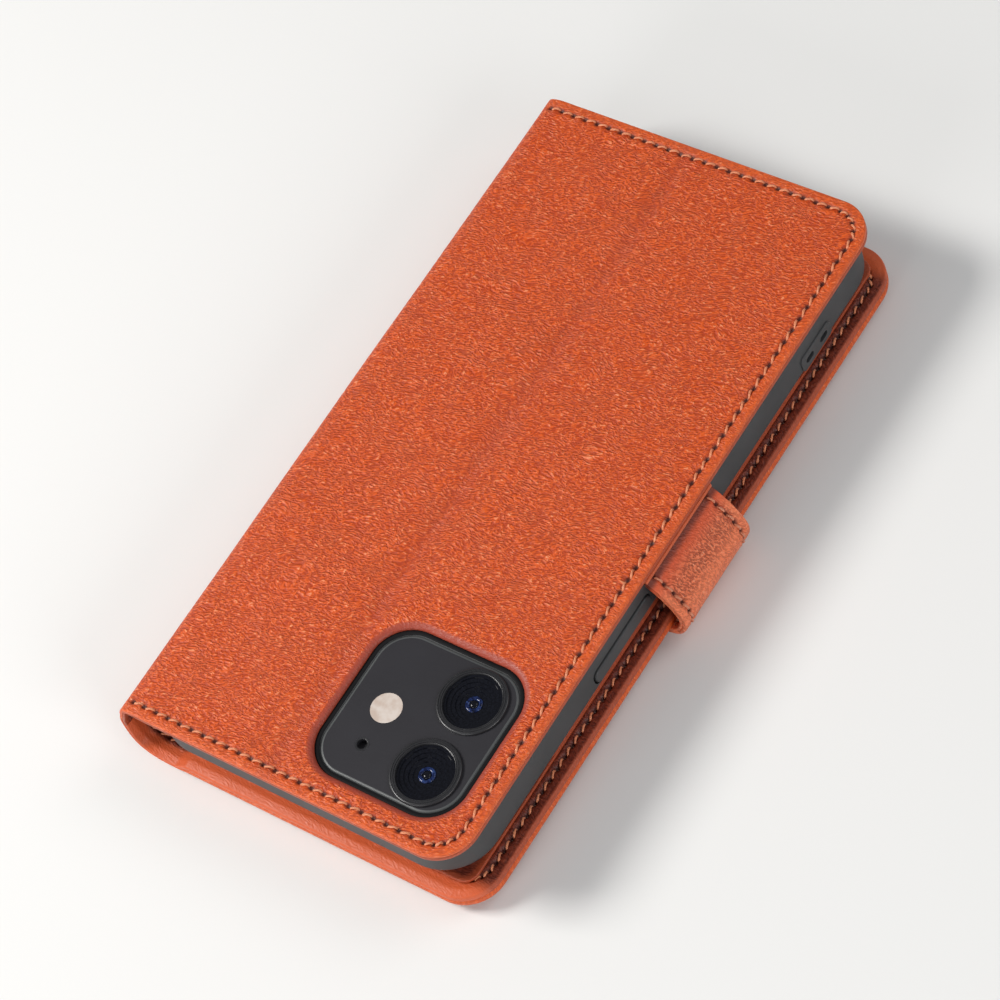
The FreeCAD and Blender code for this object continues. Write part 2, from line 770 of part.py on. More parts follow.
def strap_arc(name, inner, outer):
    """A bowed strip between two arcs about one centre, padded both ways from the strap's middle."""
    strip = Piece(name)
    sketch = strip.sketch("XZ_Plane", ("strap_reach - strap_bow", STRAP_MIDDLE, "-strap_y"))
    half_angle = math.asin(DIMENSIONS["strap_half_chord"] / DIMENSIONS["strap_bow"])
    middle = FreeCAD.Vector(0, 0, 0)
    rim = []
    for radius in (value_of(inner), value_of(outer)):
        circle = Part.Circle(middle, FreeCAD.Vector(0, 0, 1), radius)
        sketch.addGeometry(Part.ArcOfCircle(circle, -half_angle, half_angle), False)
        side, rise = radius * math.cos(half_angle), radius * math.sin(half_angle)
        rim.append((FreeCAD.Vector(side, -rise, 0), FreeCAD.Vector(side, rise, 0)))
    sketch.addGeometry(Part.LineSegment(rim[0][0], rim[1][0]), False)
    sketch.addGeometry(Part.LineSegment(rim[1][1], rim[0][1]), False)
    for arc in (0, 1):
        sketch.addConstraint(Sketcher.Constraint("Coincident", arc, 3, -1, 1))
    for joined in ((0, 1, 2, 1), (2, 2, 1, 1), (1, 2, 3, 1), (3, 2, 0, 2)):
        sketch.addConstraint(Sketcher.Constraint("Coincident", *joined))
    name_size(sketch, Sketcher.Constraint("Radius", 0, value_of(inner)), "inner")
    name_size(sketch, Sketcher.Constraint("Radius", 1, value_of(outer)), "outer")
    name_size(sketch, Sketcher.Constraint("Angle", -1, 1, 2, 1, -half_angle), "lower")
    name_size(sketch, Sketcher.Constraint("Angle", -1, 1, 3, 2, half_angle), "upper")
    sketch.setExpression("Constraints.inner", of_sheet(inner))
    sketch.setExpression("Constraints.outer", of_sheet(outer))
    strip.feature("Pad", sketch, "strap_width")
    strip.body.Tip.Midplane = True
    doc.recompute()
    return strip


def magnet_centre(side, height):
    """The two magnets lie under the keeper plate, side by side along Y."""
    place = "strap_root - tab_length + keeper_inset + keeper_width / 2"
    return (place, f"strap_y + {side} * magnet_pitch / 2", height)


def strap():
    anchor = Piece("strap_anchor")
    anchor.block(
        ("strap_root - anchor_length", "strap_y - strap_width / 2", f"{BACK_BOTTOM} - anchor_thick"),
        ("anchor_length - bend_gap", "strap_width", "anchor_thick"),
    )
    strap_arc("strap_side_leather", STRAP_BETWEEN, STRAP_OUTER)
    strap_arc("strap_side_lining", STRAP_INNER, STRAP_BETWEEN)

    middle_plane = "-tab_clear - tab_thick / 2"
    for name, low, hollow_low in (
        ("strap_tab_leather", "-tab_clear - tab_thick", f"{middle_plane} - magnet_thick / 2"),
        ("strap_tab_lining", middle_plane, middle_plane),
    ):
        layer = Piece(name)
        layer.block(
            ("strap_root - tab_length", "strap_y - strap_width / 2", low),
            ("tab_length - bend_gap", "strap_width", "tab_thick / 2"),
        )
        layer.round_spine_corners("tab_corner")
        for side in (-1, 1):
            layer.bore(magnet_centre(side, hollow_low), "magnet_radius + board_clear", "magnet_thick / 2")
    magnets = Piece("strap_magnets")
    bottom = f"{middle_plane} - magnet_thick / 2"
    for side in (-1, 1):
        magnets.disc(magnet_centre(side, bottom), "magnet_radius", "magnet_thick")


front_cover()
pockets()
spine()
back_panel()
shell()
keys()
handset()
strap()
doc.recompute()

for item in doc.Objects:
    if "Invalid" in item.State or "Error" in item.State:
        raise RuntimeError(f"{item.Name} did not recompute: {item.State}")
os.makedirs("parts", exist_ok=True)
for piece in Piece.made:
    shape = piece.body.Shape
    if shape.isNull() or not shape.isValid():
        raise RuntimeError(f"{piece.body.Label} has no valid shape")
    shape.exportStep(f"parts/{piece.body.Label}.step")
    print(piece.body.Label, round(shape.Volume, 1), "mm3", len(shape.Solids), "solid")
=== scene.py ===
import bmesh
import bpy
import copy
import math
import numpy as np
from mathutils import Matrix, Vector
from mathutils.geometry import delaunay_2d_cdt


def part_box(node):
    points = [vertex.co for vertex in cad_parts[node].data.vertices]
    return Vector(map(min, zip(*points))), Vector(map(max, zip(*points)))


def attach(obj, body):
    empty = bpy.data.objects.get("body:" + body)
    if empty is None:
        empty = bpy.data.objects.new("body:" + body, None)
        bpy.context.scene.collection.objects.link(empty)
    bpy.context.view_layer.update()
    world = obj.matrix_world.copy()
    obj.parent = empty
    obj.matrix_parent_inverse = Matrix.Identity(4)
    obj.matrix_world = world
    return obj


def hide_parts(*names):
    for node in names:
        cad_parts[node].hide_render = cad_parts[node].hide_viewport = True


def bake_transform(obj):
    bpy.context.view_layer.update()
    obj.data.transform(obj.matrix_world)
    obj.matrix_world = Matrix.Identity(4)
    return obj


# The case is drawn in its own frame, in millimetres: X from the spine's outer face, Y along the
# length with the camera end at -Y, Z up from the front cover's outer face. place() moves that
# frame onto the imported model. Every sheet of leather is laid out flat first: q is the distance
# from the sheet's free edge and y runs along the case. A Track then bends it in the X-Z plane.

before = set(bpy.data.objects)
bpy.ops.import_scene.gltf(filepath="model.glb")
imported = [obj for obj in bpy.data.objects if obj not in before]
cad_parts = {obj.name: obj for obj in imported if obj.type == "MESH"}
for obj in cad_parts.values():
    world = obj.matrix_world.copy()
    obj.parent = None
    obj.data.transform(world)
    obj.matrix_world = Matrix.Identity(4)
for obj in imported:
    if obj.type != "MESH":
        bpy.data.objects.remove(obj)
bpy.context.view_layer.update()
MM = 0.001
FOLD_GAP = 2.15
SPINE_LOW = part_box("spine_outer_leather")[0] / MM
COVER_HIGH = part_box("front_lining")[1] / MM
BACK_LOW, BACK_HIGH = (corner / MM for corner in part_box("back_outer_leather"))
ORIGIN = Vector((SPINE_LOW.x, 0, SPINE_LOW.z - FOLD_GAP))
HEIGHT = BACK_HIGH.z - ORIGIN.z
BACK_REACH = BACK_HIGH.x - ORIGIN.x
COVER_REACH = COVER_HIGH.x - ORIGIN.x
BACK_HALF = BACK_HIGH.y
COVER_HALF = COVER_HIGH.y
COVER_THICK = COVER_HIGH.z - ORIGIN.z
BACK_THICK = BACK_HIGH.z - BACK_LOW.z
CORNER = 8.0
AXIS = 0.01
TRIANGLE_HEIGHT = 0.866
rng = np.random.default_rng(7)


def place(points):
    """Case frame in millimetres to the model's frame in metres."""
    return (np.asarray(points, float) + np.array(ORIGIN)) * MM


def case_box(node):
    low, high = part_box(node)
    return low / MM - ORIGIN, high / MM - ORIGIN


def ease(x):
    x = np.clip(x, 0, 1)
    return x * x * (3 - 2 * x)


def fade(x, start, width):
    """1 up to start, then falling softly to 0 over width."""
    return 1 - ease((x - start) / width)


def bell(x, middle, width):
    return np.exp(-((x - middle) / width) ** 2)


# ---- tracks
def between(t, low, high, first, second):
    return (high - t) / (high - low) * first + (t - low) / (high - low) * second


def smooth_curve(points, steps=40):
    """Centripetal Catmull-Rom curve through the points."""
    pts = [np.array(p, float) for p in points]
    pts = [2 * pts[0] - pts[1]] + pts + [2 * pts[-1] - pts[-2]]
    out = []
    for p in zip(pts, pts[1:], pts[2:], pts[3:]):
        knots = [0.0]
        for before, after in zip(p, p[1:]):
            knots.append(knots[-1] + math.sqrt(np.linalg.norm(after - before)))
        for t in np.linspace(knots[1], knots[2], steps, endpoint=False):
            a = [between(t, knots[k], knots[k + 1], p[k], p[k + 1]) for k in range(3)]
            b = [between(t, knots[k], knots[k + 2], a[k], a[k + 1]) for k in range(2)]
            out.append(between(t, knots[1], knots[2], b[0], b[1]))
    out.append(pts[-2])
    return np.array(out)


class Track:
    """A curve in the X-Z plane with its length and its left-hand normal."""

    def __init__(self, points):
        self.line = smooth_curve(points)
        step = np.diff(self.line, axis=0)
        self.s = np.concatenate([[0], np.cumsum(np.hypot(step[:, 0], step[:, 1]))])
        tangent = np.gradient(self.line, self.s, axis=0)
        tangent /= np.linalg.norm(tangent, axis=1)[:, None]
        self.normal = np.stack([-tangent[:, 1], tangent[:, 0]], axis=1)
        self.length = self.s[-1]

    def bend(self, s, y, height):
        """Points at lengths s and heights above the curve's left side."""
        x, z = (np.interp(s, self.s, self.line[:, k]) for k in (0, 1))
        nx, nz = (np.interp(s, self.s, self.normal[:, k]) for k in (0, 1))
        size = np.hypot(nx, nz)
        return np.stack([x + nx / size * height, y, z + nz / size * height], axis=1)

    def length_at(self, x, z):
        """The length along the track at its point nearest to (x, z)."""
        gap = np.hypot(self.line[:, 0] - x, self.line[:, 1] - z)
        return self.s[gap.argmin()]


# ---- outlines
class Outline:
    """A path round a sheet; a holds the lengths along it where its points lie."""

    def loop(self, inset):
        return np.stack(self.point(self.a, inset), axis=1)


class FreeEdge(Outline):
    """Outline of a sheet that is round at its free corners and open on the side at q = depth."""

    closed = False

    def __init__(self, half, radius, depth, fine=0.3):
        self.half, self.radius, self.depth = half, radius, depth
        self.run = depth - radius
        self.bend = radius * math.pi / 2
        self.side = 2 * (half - radius)
        self.total = 2 * self.run + 2 * self.bend + self.side
        ends = (0, self.run, self.run + self.bend, self.run + self.bend + self.side,
                self.run + 2 * self.bend + self.side)
        stretches = [np.arange(first, last, fine) for first, last in zip(ends, ends[1:])]
        self.a = np.concatenate(stretches + [np.linspace(ends[-1], self.total, len(stretches[0]))])

    def point(self, a, inset):
        """Points at lengths a along the outline, moved inwards by inset."""
        a = np.asarray(a, float)
        inset = np.broadcast_to(np.asarray(inset, float), a.shape)
        from_middle = a - self.total / 2
        sign = np.where(from_middle < 0, -1.0, 1.0)
        b = np.abs(from_middle)
        flat = self.side / 2
        angle = np.clip((b - flat) / self.radius, 0, math.pi / 2)
        on_side = b > flat + self.bend
        beyond = np.where(on_side, b - flat - self.bend, 0)
        q = np.where(b < flat, inset, self.radius - (self.radius - inset) * np.cos(angle) + beyond)
        y = np.where(b < flat, b, flat + (self.radius - inset) * np.sin(angle))
        return q, sign * y

    def locate(self, q, y):
        """Length along the outline and distance inside it, for points of the sheet."""
        flat = self.side / 2
        over = np.abs(y) - flat
        in_corner = (over > 0) & (q < self.radius)
        dq, dy = self.radius - q, np.maximum(over, 0)
        angle = np.arctan2(dy, np.maximum(dq, 1e-9))
        side_gap = self.half - np.abs(y)
        near_side = side_gap < q
        b = np.where(
            in_corner, flat + angle * self.radius,
            np.where(near_side, flat + self.bend + np.maximum(q - self.radius, 0), np.abs(y)),
        )
        gap = np.where(in_corner, self.radius - np.hypot(dq, dy), np.minimum(side_gap, q))
        return self.total / 2 + np.where(y < 0, -b, b), gap

    def gap(self, q, y):
        """Distance inside the outline."""
        return self.locate(q, y)[1]


class RoundBox(Outline):
    """Closed outline: a round-cornered box, low and high corners in (q, y)."""

    closed = True

    def __init__(self, low, high, radius, fine=0.5):
        self.low, self.high, self.radius = np.array(low, float), np.array(high, float), radius
        self.sides = (self.high - self.low) - 2 * radius
        self.bend = radius * math.pi / 2
        self.total = 2 * self.sides.sum() + 4 * self.bend
        self.a = np.linspace(0, self.total, int(self.total / fine), endpoint=False)

    def point(self, a, inset):
        """Points at lengths a along the outline, moved inwards by inset."""
        a = np.mod(np.asarray(a, float), self.total)
        reach = self.radius - np.broadcast_to(np.asarray(inset, float), a.shape)
        low, high = self.low + self.radius, self.high - self.radius
        corners = ((low[0], low[1]), (high[0], low[1]), (high[0], high[1]), (low[0], high[1]))
        points = np.zeros((2, *a.shape))
        start = 0.0
        for number, side in enumerate((*self.sides, *self.sides)):
            turn = number * math.pi / 2
            along = (math.cos(turn), math.sin(turn))
            out = (math.sin(turn), -math.cos(turn))
            straight = (a >= start) & (a < start + side)
            t = a[straight] - start
            start += side
            curved = (a >= start) & (a <= start + self.bend)
            angle = (a[curved] - start) / self.radius
            start += self.bend
            for k in (0, 1):
                points[k][straight] = corners[number][k] + along[k] * t + out[k] * reach[straight]
                swing = out[k] * np.cos(angle) + along[k] * np.sin(angle)
                points[k][curved] = corners[(number + 1) % 4][k] + reach[curved] * swing
        return points[0], points[1]

    def gap(self, q, y):
        """Distance inside the outline, negative outside it."""
        middle, reach = (self.low + self.high) / 2, (self.high - self.low) / 2 - self.radius
        dq, dy = np.abs(q - middle[0]) - reach[0], np.abs(y - middle[1]) - reach[1]
        outside = np.hypot(np.maximum(dq, 0), np.maximum(dy, 0))
        return self.radius - outside - np.minimum(np.maximum(dq, dy), 0)


# ---- meshes
def add_object(name, data):
    obj = bpy.data.objects.new(name, data)
    bpy.context.scene.collection.objects.link(obj)
    return obj


def new_mesh(name, points, faces, material, flat=None, marks=None, sharp=math.radians(60)):
    """An object with smooth faces, its flat layout as UVs in millimetres and its marks: paler edge and
    painted shade.
    """
    mesh = bpy.data.meshes.new(name)
    mesh.from_pydata([tuple(p) for p in place(points)], [], faces)
    work = bmesh.new()
    work.from_mesh(mesh)
    bmesh.ops.recalc_face_normals(work, faces=work.faces)
    work.to_mesh(mesh)
    work.free()
    if flat is not None:
        corner = np.empty(len(mesh.loops), np.int64)
        mesh.loops.foreach_get("vertex_index", corner)
        layer = mesh.uv_layers.new(name="flat")
        layer.data.foreach_set("uv", np.asarray(flat, np.float32)[corner].ravel())
    if marks is not None:
        layer = mesh.attributes.new("marks", "FLOAT_COLOR", "POINT")
        colour = np.ones((len(points), 4), np.float32)
        colour[:, :3] = marks
        layer.data.foreach_set("color", colour.ravel())
    mesh.polygons.foreach_set("use_smooth", np.ones(len(mesh.polygons), bool))
    mesh.set_sharp_from_angle(angle=sharp)
    mesh.materials.append(material)
    return add_object(name, mesh)


def drop_loose(points, faces, *layers):
    """Leaves out the points that no face uses, and renumbers the faces."""
    used = np.unique(np.concatenate([np.array(face) for face in faces]))
    place_of = np.full(len(points), -1)
    place_of[used] = np.arange(len(used))
    kept = [tuple(int(place_of[i]) for i in face) for face in faces]
    return points[used], kept, *(layer[used] for layer in layers)


def grid_faces(rows, columns, start=0, around=True, back=False):
    """Faces between rows of points: around closes each row, back joins the last row to the first."""
    faces = []
    for row in range(rows if back else rows - 1):
        here, there = start + row * columns, start + (row + 1) % rows * columns
        for k in range(columns if around else columns - 1):
            n = (k + 1) % columns
            faces.append((here + k, here + n, there + n, there + k))
    return faces


def scatter(low, high, step):
    """A triangular lattice of points that fills a box, nudged a little off its lines."""
    rows = np.arange(low[1], high[1], step * TRIANGLE_HEIGHT)
    out = []
    for number, y in enumerate(rows):
        q = np.arange(low[0] + (number % 2) * step / 2, high[0], step)
        out.append(np.stack([q, np.full_like(q, y)], axis=1))
    points = np.concatenate(out)
    return points + rng.uniform(-0.12, 0.12, points.shape) * step


def bead(thick, reach, under):
    """Section of a turned edge, from the flat top round to the underside: (inset, height)."""
    squareness = 0.7
    rows = []
    for angle in np.linspace(0, math.pi, 11):
        side, drop = math.sin(angle), math.cos(angle)
        drop = math.copysign(abs(drop) ** squareness, drop)
        rows.append((reach * (1 - side ** squareness), -thick / 2 * (1 - drop)))
    return rows + [(under, -thick)]


def cut_edge(thick, under):
    """Section of a plain cut edge with its corners eased."""
    eased = 0.2
    turns = (0.0, math.pi / 4, math.pi / 2)
    rows = [(eased * (1 - math.sin(turn)), -eased * (1 - math.cos(turn))) for turn in turns]
    rows.append((0.0, -thick / 2))
    rows += [(inset, -thick - height) for inset, height in reversed(rows[:3])]
    return rows + [(under, -thick)]


# Spacing of the points along a sheet's open side.
OPEN_STEP = 1.0


class Skin:
    """A sheet of leather with a worked edge, optional windows and a relief on its face."""

    def __init__(self, outline, thick, edge, rings, step, windows=()):
        self.outline, self.thick = outline, thick
        self.points, self.heights, self.faces, self.flat = [], [], [], []
        ids = self.band(outline, [(inset, 0.0) for inset in sorted(rings, reverse=True)] + list(edge))
        self.fill(max(rings), step, windows, ids)

    def add(self, points, height, flat=None):
        start = sum(len(p) for p in self.points)
        self.points.append(points)
        self.heights.append(np.full(len(points), height))
        self.flat.append(points if flat is None else flat)
        return list(range(start, start + len(points)))

    def band(self, outline, rows, inwards=-1):
        """Rows of points that follow an outline; returns each row's points."""
        ids = []
        run = 0.0
        before = rows[0]
        for inset, height in rows:
            run += math.hypot(inset - before[0], height - before[1])
            before = (inset, height)
            flat = outline.loop(rows[0][0] + inwards * run)
            ids.append(self.add(outline.loop(inset), height, flat))
        self.faces += grid_faces(len(rows), len(outline.a), ids[0][0], around=outline.closed)
        return ids

    def fill(self, inset, step, windows, ids):
        """Triangles between the bands, once on the face and once on the underside."""
        outline = self.outline
        loops = [outline.loop(inset)]
        top_ids, low_ids = [ids[0]], [ids[-1]]
        if not outline.closed:
            half = outline.half - inset
            y = np.arange(half - OPEN_STEP, -half, -OPEN_STEP)
            open_side = np.stack([np.full_like(y, outline.depth), y], axis=1)
            loops[0] = np.concatenate([loops[0], open_side])
            open_top = self.add(open_side, 0.0)
            open_low = self.add(open_side, -self.thick)
            top_ids[0] = ids[0] + open_top
            low_ids[0] = ids[-1] + open_low
            starts, ends = [row[0] for row in ids], [row[-1] for row in ids]
            self.faces.append(tuple(ends + open_low + starts[::-1] + open_top[::-1]))
        for window, rows in windows:
            ids = self.band(window, rows, inwards=1)
            top_ids.append(ids[0])
            low_ids.append(ids[-1])
            loops.append(window.loop(rows[0][0]))
        low, high = loops[0].min(axis=0), loops[0].max(axis=0)
        inner = scatter(low, high, step)
        keep = outline.gap(inner[:, 0], inner[:, 1]) > inset + step * 0.5
        if not outline.closed:
            keep &= inner[:, 0] < outline.depth - step * 0.4
        for window, rows in windows:
            keep &= window.gap(inner[:, 0], inner[:, 1]) < rows[0][0] - step * 0.5
        inner = inner[keep]
        inner_top = self.add(inner, 0.0)
        inner_low = self.add(inner, -self.thick)
        vertices = [Vector(p) for p in np.concatenate(loops + [inner])]
        edges, start = [], 0
        for loop in loops:
            size = len(loop)
            edges += [(start + k, start + (k + 1) % size) for k in range(size)]
            start += size
        corners, _, triangles, origin = delaunay_2d_cdt(vertices, edges, [], 1, 1e-6)[:4]
        top = sum(top_ids, []) + inner_top
        bottom = sum(low_ids, []) + inner_low
        for face in triangles:
            ids = [origin[v][0] for v in face]
            middle = sum((np.array(corners[v]) for v in face), np.zeros(2)) / len(face)
            if not any(window.gap(*middle) > rows[0][0] for window, rows in windows):
                self.faces.append(tuple(top[i] for i in ids[::-1]))
                self.faces.append(tuple(bottom[i] for i in ids))

    def finish(self, name, material, lift, relief=None, marks=None, part=None, mirror=None):
        """Bends the sheet with lift(q, y, height) and makes the object; part(q) picks a stretch of it.

        mirror is where the layout starts when it runs the other way, so that two sheets' grains meet.
        """
        points = np.concatenate(self.points)
        heights = np.concatenate(self.heights)
        flat = np.concatenate(self.flat)
        q, y = points[:, 0], points[:, 1]
        share = np.clip(1 + heights / self.thick, 0, 1)
        if relief is not None:
            heights = heights + relief(q, y) * share
        colours = np.zeros((len(q), 3)) if marks is None else marks(q, y)
        if mirror is not None:
            flat[:, 0] = mirror - flat[:, 0]
        faces = self.faces
        if part is not None:
            faces = [face for face in faces if part(q[list(face)].mean())]
        points, faces, flat, colours = drop_loose(lift(q, y, heights), faces, flat, colours)
        return new_mesh(name, points, faces, material, flat, colours)


def join_meshes(parts):
    """Stacks (points, faces, flat) triples into one."""
    points, faces, flat, start = [], [], [], 0
    for p, f, u in parts:
        points.append(p)
        flat.append(u)
        faces += [tuple(i + start for i in face) for face in f]
        start += len(p)
    return np.concatenate(points), faces, np.concatenate(flat)


def tube(centres, normals, width, height, phase, sides=8, twist=5.0, ply=0.13):
    """A closed tube along centres, its section a flat oval that twists like two-ply thread."""
    centres = np.asarray(centres, float)
    tangents = np.gradient(centres, axis=0)
    tangents /= np.linalg.norm(tangents, axis=1)[:, None]
    normals = normals - (normals * tangents).sum(axis=1)[:, None] * tangents
    normals /= np.linalg.norm(normals, axis=1)[:, None]
    across = np.cross(tangents, normals)
    count = len(centres)
    taper = np.full((count, 1, 1), 1.0)
    taper[[0, -1]] = 0.55
    angle = np.linspace(0, 2 * math.pi, sides, endpoint=False)
    t = np.linspace(0, 1, count)
    swell = 1 + ply * np.cos(2 * (angle[None, :] - twist * t[:, None] - phase))
    wide = (np.cos(angle)[None, :] * width * swell)[..., None]
    high = (np.sin(angle)[None, :] * height * swell)[..., None]
    section = (across[:, None, :] * wide + normals[:, None, :] * high) * taper
    points = (centres[:, None, :] + section).reshape(-1, 3)
    faces = grid_faces(count, sides)
    faces.append(tuple(range(sides))[::-1])
    faces.append(tuple(range((count - 1) * sides, count * sides)))
    flat = np.stack([np.repeat(t, sides) * 3, np.tile(angle, count)], axis=1)
    return points, faces, flat


def turned(profile, centre, segments=96):
    """Points and faces of a turned piece; profile is its closed section as (radius, height).

    A solid piece's section starts and ends at the radius AXIS, which leaves a bore too thin to see.
    """
    profile = np.array(profile, float)
    angle = np.linspace(0, 2 * math.pi, segments, endpoint=False)
    points = np.stack([
        centre[0] + profile[:, None, 0] * np.cos(angle),
        centre[1] + profile[:, None, 0] * np.sin(angle),
        centre[2] + profile[:, None, 1] + 0 * angle,
    ], axis=-1).reshape(-1, 3)
    return points, grid_faces(len(profile), segments, back=True)


def lathe(name, profile, centre, material, segments=96):
    """A turned piece about an upright axis."""
    points, faces = turned(profile, centre, segments)
    return new_mesh(name, points, faces, material, sharp=math.radians(40))


# ---- seams
HOLE_DEPTH = 0.5
HOLE_RADIUS = 0.42


class Seam:
    """A row of stitches at one inset from an outline: needle holes and the thread between them."""

    def __init__(self, outline, inset, pitch, first, slant=-0.26):
        self.outline, self.inset, self.slant = outline, inset, slant
        self.first, self.last = first, outline.total - first
        count = max(1, int(round((self.last - self.first) / pitch)))
        self.pitch = (self.last - self.first) / count
        self.holes = self.first + self.pitch * np.arange(count + 1)

    def part(self, low, high):
        """The stitches that start between two lengths."""
        piece = copy.copy(self)
        piece.holes = self.holes[(self.holes >= low - 1e-6) & (self.holes < high + self.pitch)]
        return piece

    def dents(self, q, y):
        """How deep each point lies in a needle hole."""
        a, gap = self.outline.locate(q, y)
        nearest = self.first + np.round((a - self.first) / self.pitch) * self.pitch
        nearest = np.clip(nearest, self.first, self.holes[-1])
        away = np.hypot((a - nearest) / 1.3, gap - self.inset)
        return HOLE_DEPTH * bell(away, 0.0, HOLE_RADIUS)

    def hole_shade(self, q, y, full=0.26):
        """Painted shade in the holes, from 0 to 1 where a hole is as deep as full."""
        return np.clip(self.dents(q, y) / full, 0, 1)

    def relief(self, q, y):
        """The row pulls the leather down; the leather swells between the holes beside it."""
        a, gap = self.outline.locate(q, y)
        beside = gap - self.inset
        row = (a > self.first - 1) & (a < self.last + 1)
        valley = -0.13 * bell(beside, 0.0, HOLE_RADIUS)
        swell = 0.11 * bell(beside, 1.0, 0.5) + 0.05 * bell(beside, -0.8, 0.35)
        wave = 0.5 - 0.5 * np.cos(2 * math.pi * (a - self.first) / self.pitch)
        return row * (valley + swell * (0.3 + 0.7 * wave) - self.dents(q, y))

    def thread(self, name, lift, material, width=0.23, height=0.17, proud=0.13):
        """Thread from hole to hole, dipping into the leather at each."""
        t = np.linspace(0, 1, 9)
        arch = np.sin(math.pi * t)
        rise = proud * arch ** 0.6 - HOLE_DEPTH * (1 - arch) ** 2
        parts = []
        for a in self.holes[:-1]:
            wander = rng.normal(0, 0.03, 2)
            along = a + self.pitch * (0.15 + 0.7 * t)
            drift = self.slant * np.cos(math.pi * t) + wander[0]
            q, y = self.outline.point(along, self.inset + drift)
            centres = lift(q, y, rise + wander[1] * arch)
            above = lift(q, y, rise + 1.0) - centres
            parts.append(tube(centres, above, width, height, rng.uniform(0, math.pi)))
        points, faces, flat = join_meshes(parts)
        return new_mesh(name, points, faces, material, flat, np.zeros((len(points), 3)))


def paint(edge, dark_shade_mask=0.0, shade_mask=0.0):
    """Marks for new_mesh, one row a point: paler edge, dark painted shade, softer painted shade."""
    return np.stack(np.broadcast_arrays(edge, dark_shade_mask, shade_mask), axis=1)


def edge_marks(outline, start, width):
    """Paler along the outline: fully up to start, then fading over width."""
    return lambda q, y: paint(fade(outline.gap(q, y), start, width))


# ---- materials
class Nodes:
    """Short calls for building a material's node tree."""

    def __init__(self, name, roughness, metallic=0.0, specular=0.5):
        self.material = bpy.data.materials.new(name)
        self.material.use_nodes = True
        self.tree = self.material.node_tree
        self.shader = self.tree.nodes["Principled BSDF"]
        self.set(self.shader, {
            "Roughness": roughness, "Metallic": metallic, "Specular IOR Level": specular,
            "Base Color": (0.5, 0.5, 0.5, 1),
        })

    def set(self, item, values):
        """Gives each of a node's sockets a constant, or the output that feeds it."""
        for key, value in values.items():
            if isinstance(value, bpy.types.NodeSocket):
                self.tree.links.new(value, item.inputs[key])
            else:
                item.inputs[key].default_value = value

    def node(self, kind, values=None, **settings):
        item = self.tree.nodes.new("ShaderNode" + kind)
        for key, value in settings.items():
            setattr(item, key, value)
        self.set(item, values or {})
        return item

    def mapped(self, vector, scale, turn=0.0):
        item = self.node("Mapping", {"Vector": vector, "Scale": scale, "Rotation": (0, 0, turn)})
        return item.outputs[0]

    def flat(self, turn=0.0):
        """The sheet's own layout in millimetres, turned."""
        return self.mapped(self.node("UVMap", uv_map="flat").outputs[0], (1, 1, 1), turn)

    def solid(self):
        """The model's own coordinates, in millimetres."""
        return self.mapped(self.node("TexCoord").outputs["Object"], (1 / MM,) * 3)

    def noise(self, vector, scale, detail=3.0, roughness=0.55, warp=0.0, kind="FBM", out="Fac"):
        item = self.node("TexNoise", {
            "Vector": vector, "Scale": scale, "Detail": detail, "Roughness": roughness, "Distortion": warp,
        }, noise_type=kind)
        return item.outputs[out]

    def ramp(self, value, stops):
        item = self.node("ValToRGB", {"Fac": value})
        while len(item.color_ramp.elements) < len(stops):
            item.color_ramp.elements.new(0.5)
        for element, (position, colour) in zip(item.color_ramp.elements, stops):
            element.position = position
            element.color = (*colour, 1)
        return item.outputs["Color"]

    def span(self, value, low, high, start=0.0, end=1.0):
        item = self.node("MapRange", {
            "Value": value, "From Min": start, "From Max": end, "To Min": low, "To Max": high,
        })
        return item.outputs["Result"]

    def math(self, operation, first, second, kind="Math"):
        return self.node(kind, {0: first, 1: second}, operation=operation).outputs[0]

    def mix(self, factor, first, second):
        """Mixes colours; a plain colour is given as (red, green, blue)."""
        ends = [(*end, 1) if isinstance(end, tuple) else end for end in (first, second)]
        return self.node("Mix", {0: factor, 6: ends[0], 7: ends[1]}, data_type="RGBA").outputs[2]

    def warp(self, vector, scale, amount):
        """The vector moved about by a soft noise, so that straight patterns wander."""
        noise = self.noise(vector, scale, 2.0, 0.5, out="Color")
        centred = self.math("SUBTRACT", noise, (0.5, 0.5, 0.5), "VectorMath")
        shift = self.node("VectorMath", {0: centred, "Scale": amount}, operation="SCALE")
        return self.math("ADD", vector, shift.outputs[0], "VectorMath")

    def marks(self):
        """The marks painted on the mesh: paler edge, dark painted shade and softer painted shade."""
        item = self.node("Attribute", attribute_name="marks")
        return self.node("SeparateColor", {0: item.outputs["Color"]}).outputs[:3]

    def bump(self, height, strength, distance):
        item = self.node("Bump", {"Height": height, "Strength": strength, "Distance": distance * MM})
        self.set(self.shader, {"Normal": item.outputs["Normal"]})

    def colour(self, value):
        self.set(self.shader, {"Base Color": value})

    def rough(self, value):
        self.set(self.shader, {"Roughness": value})


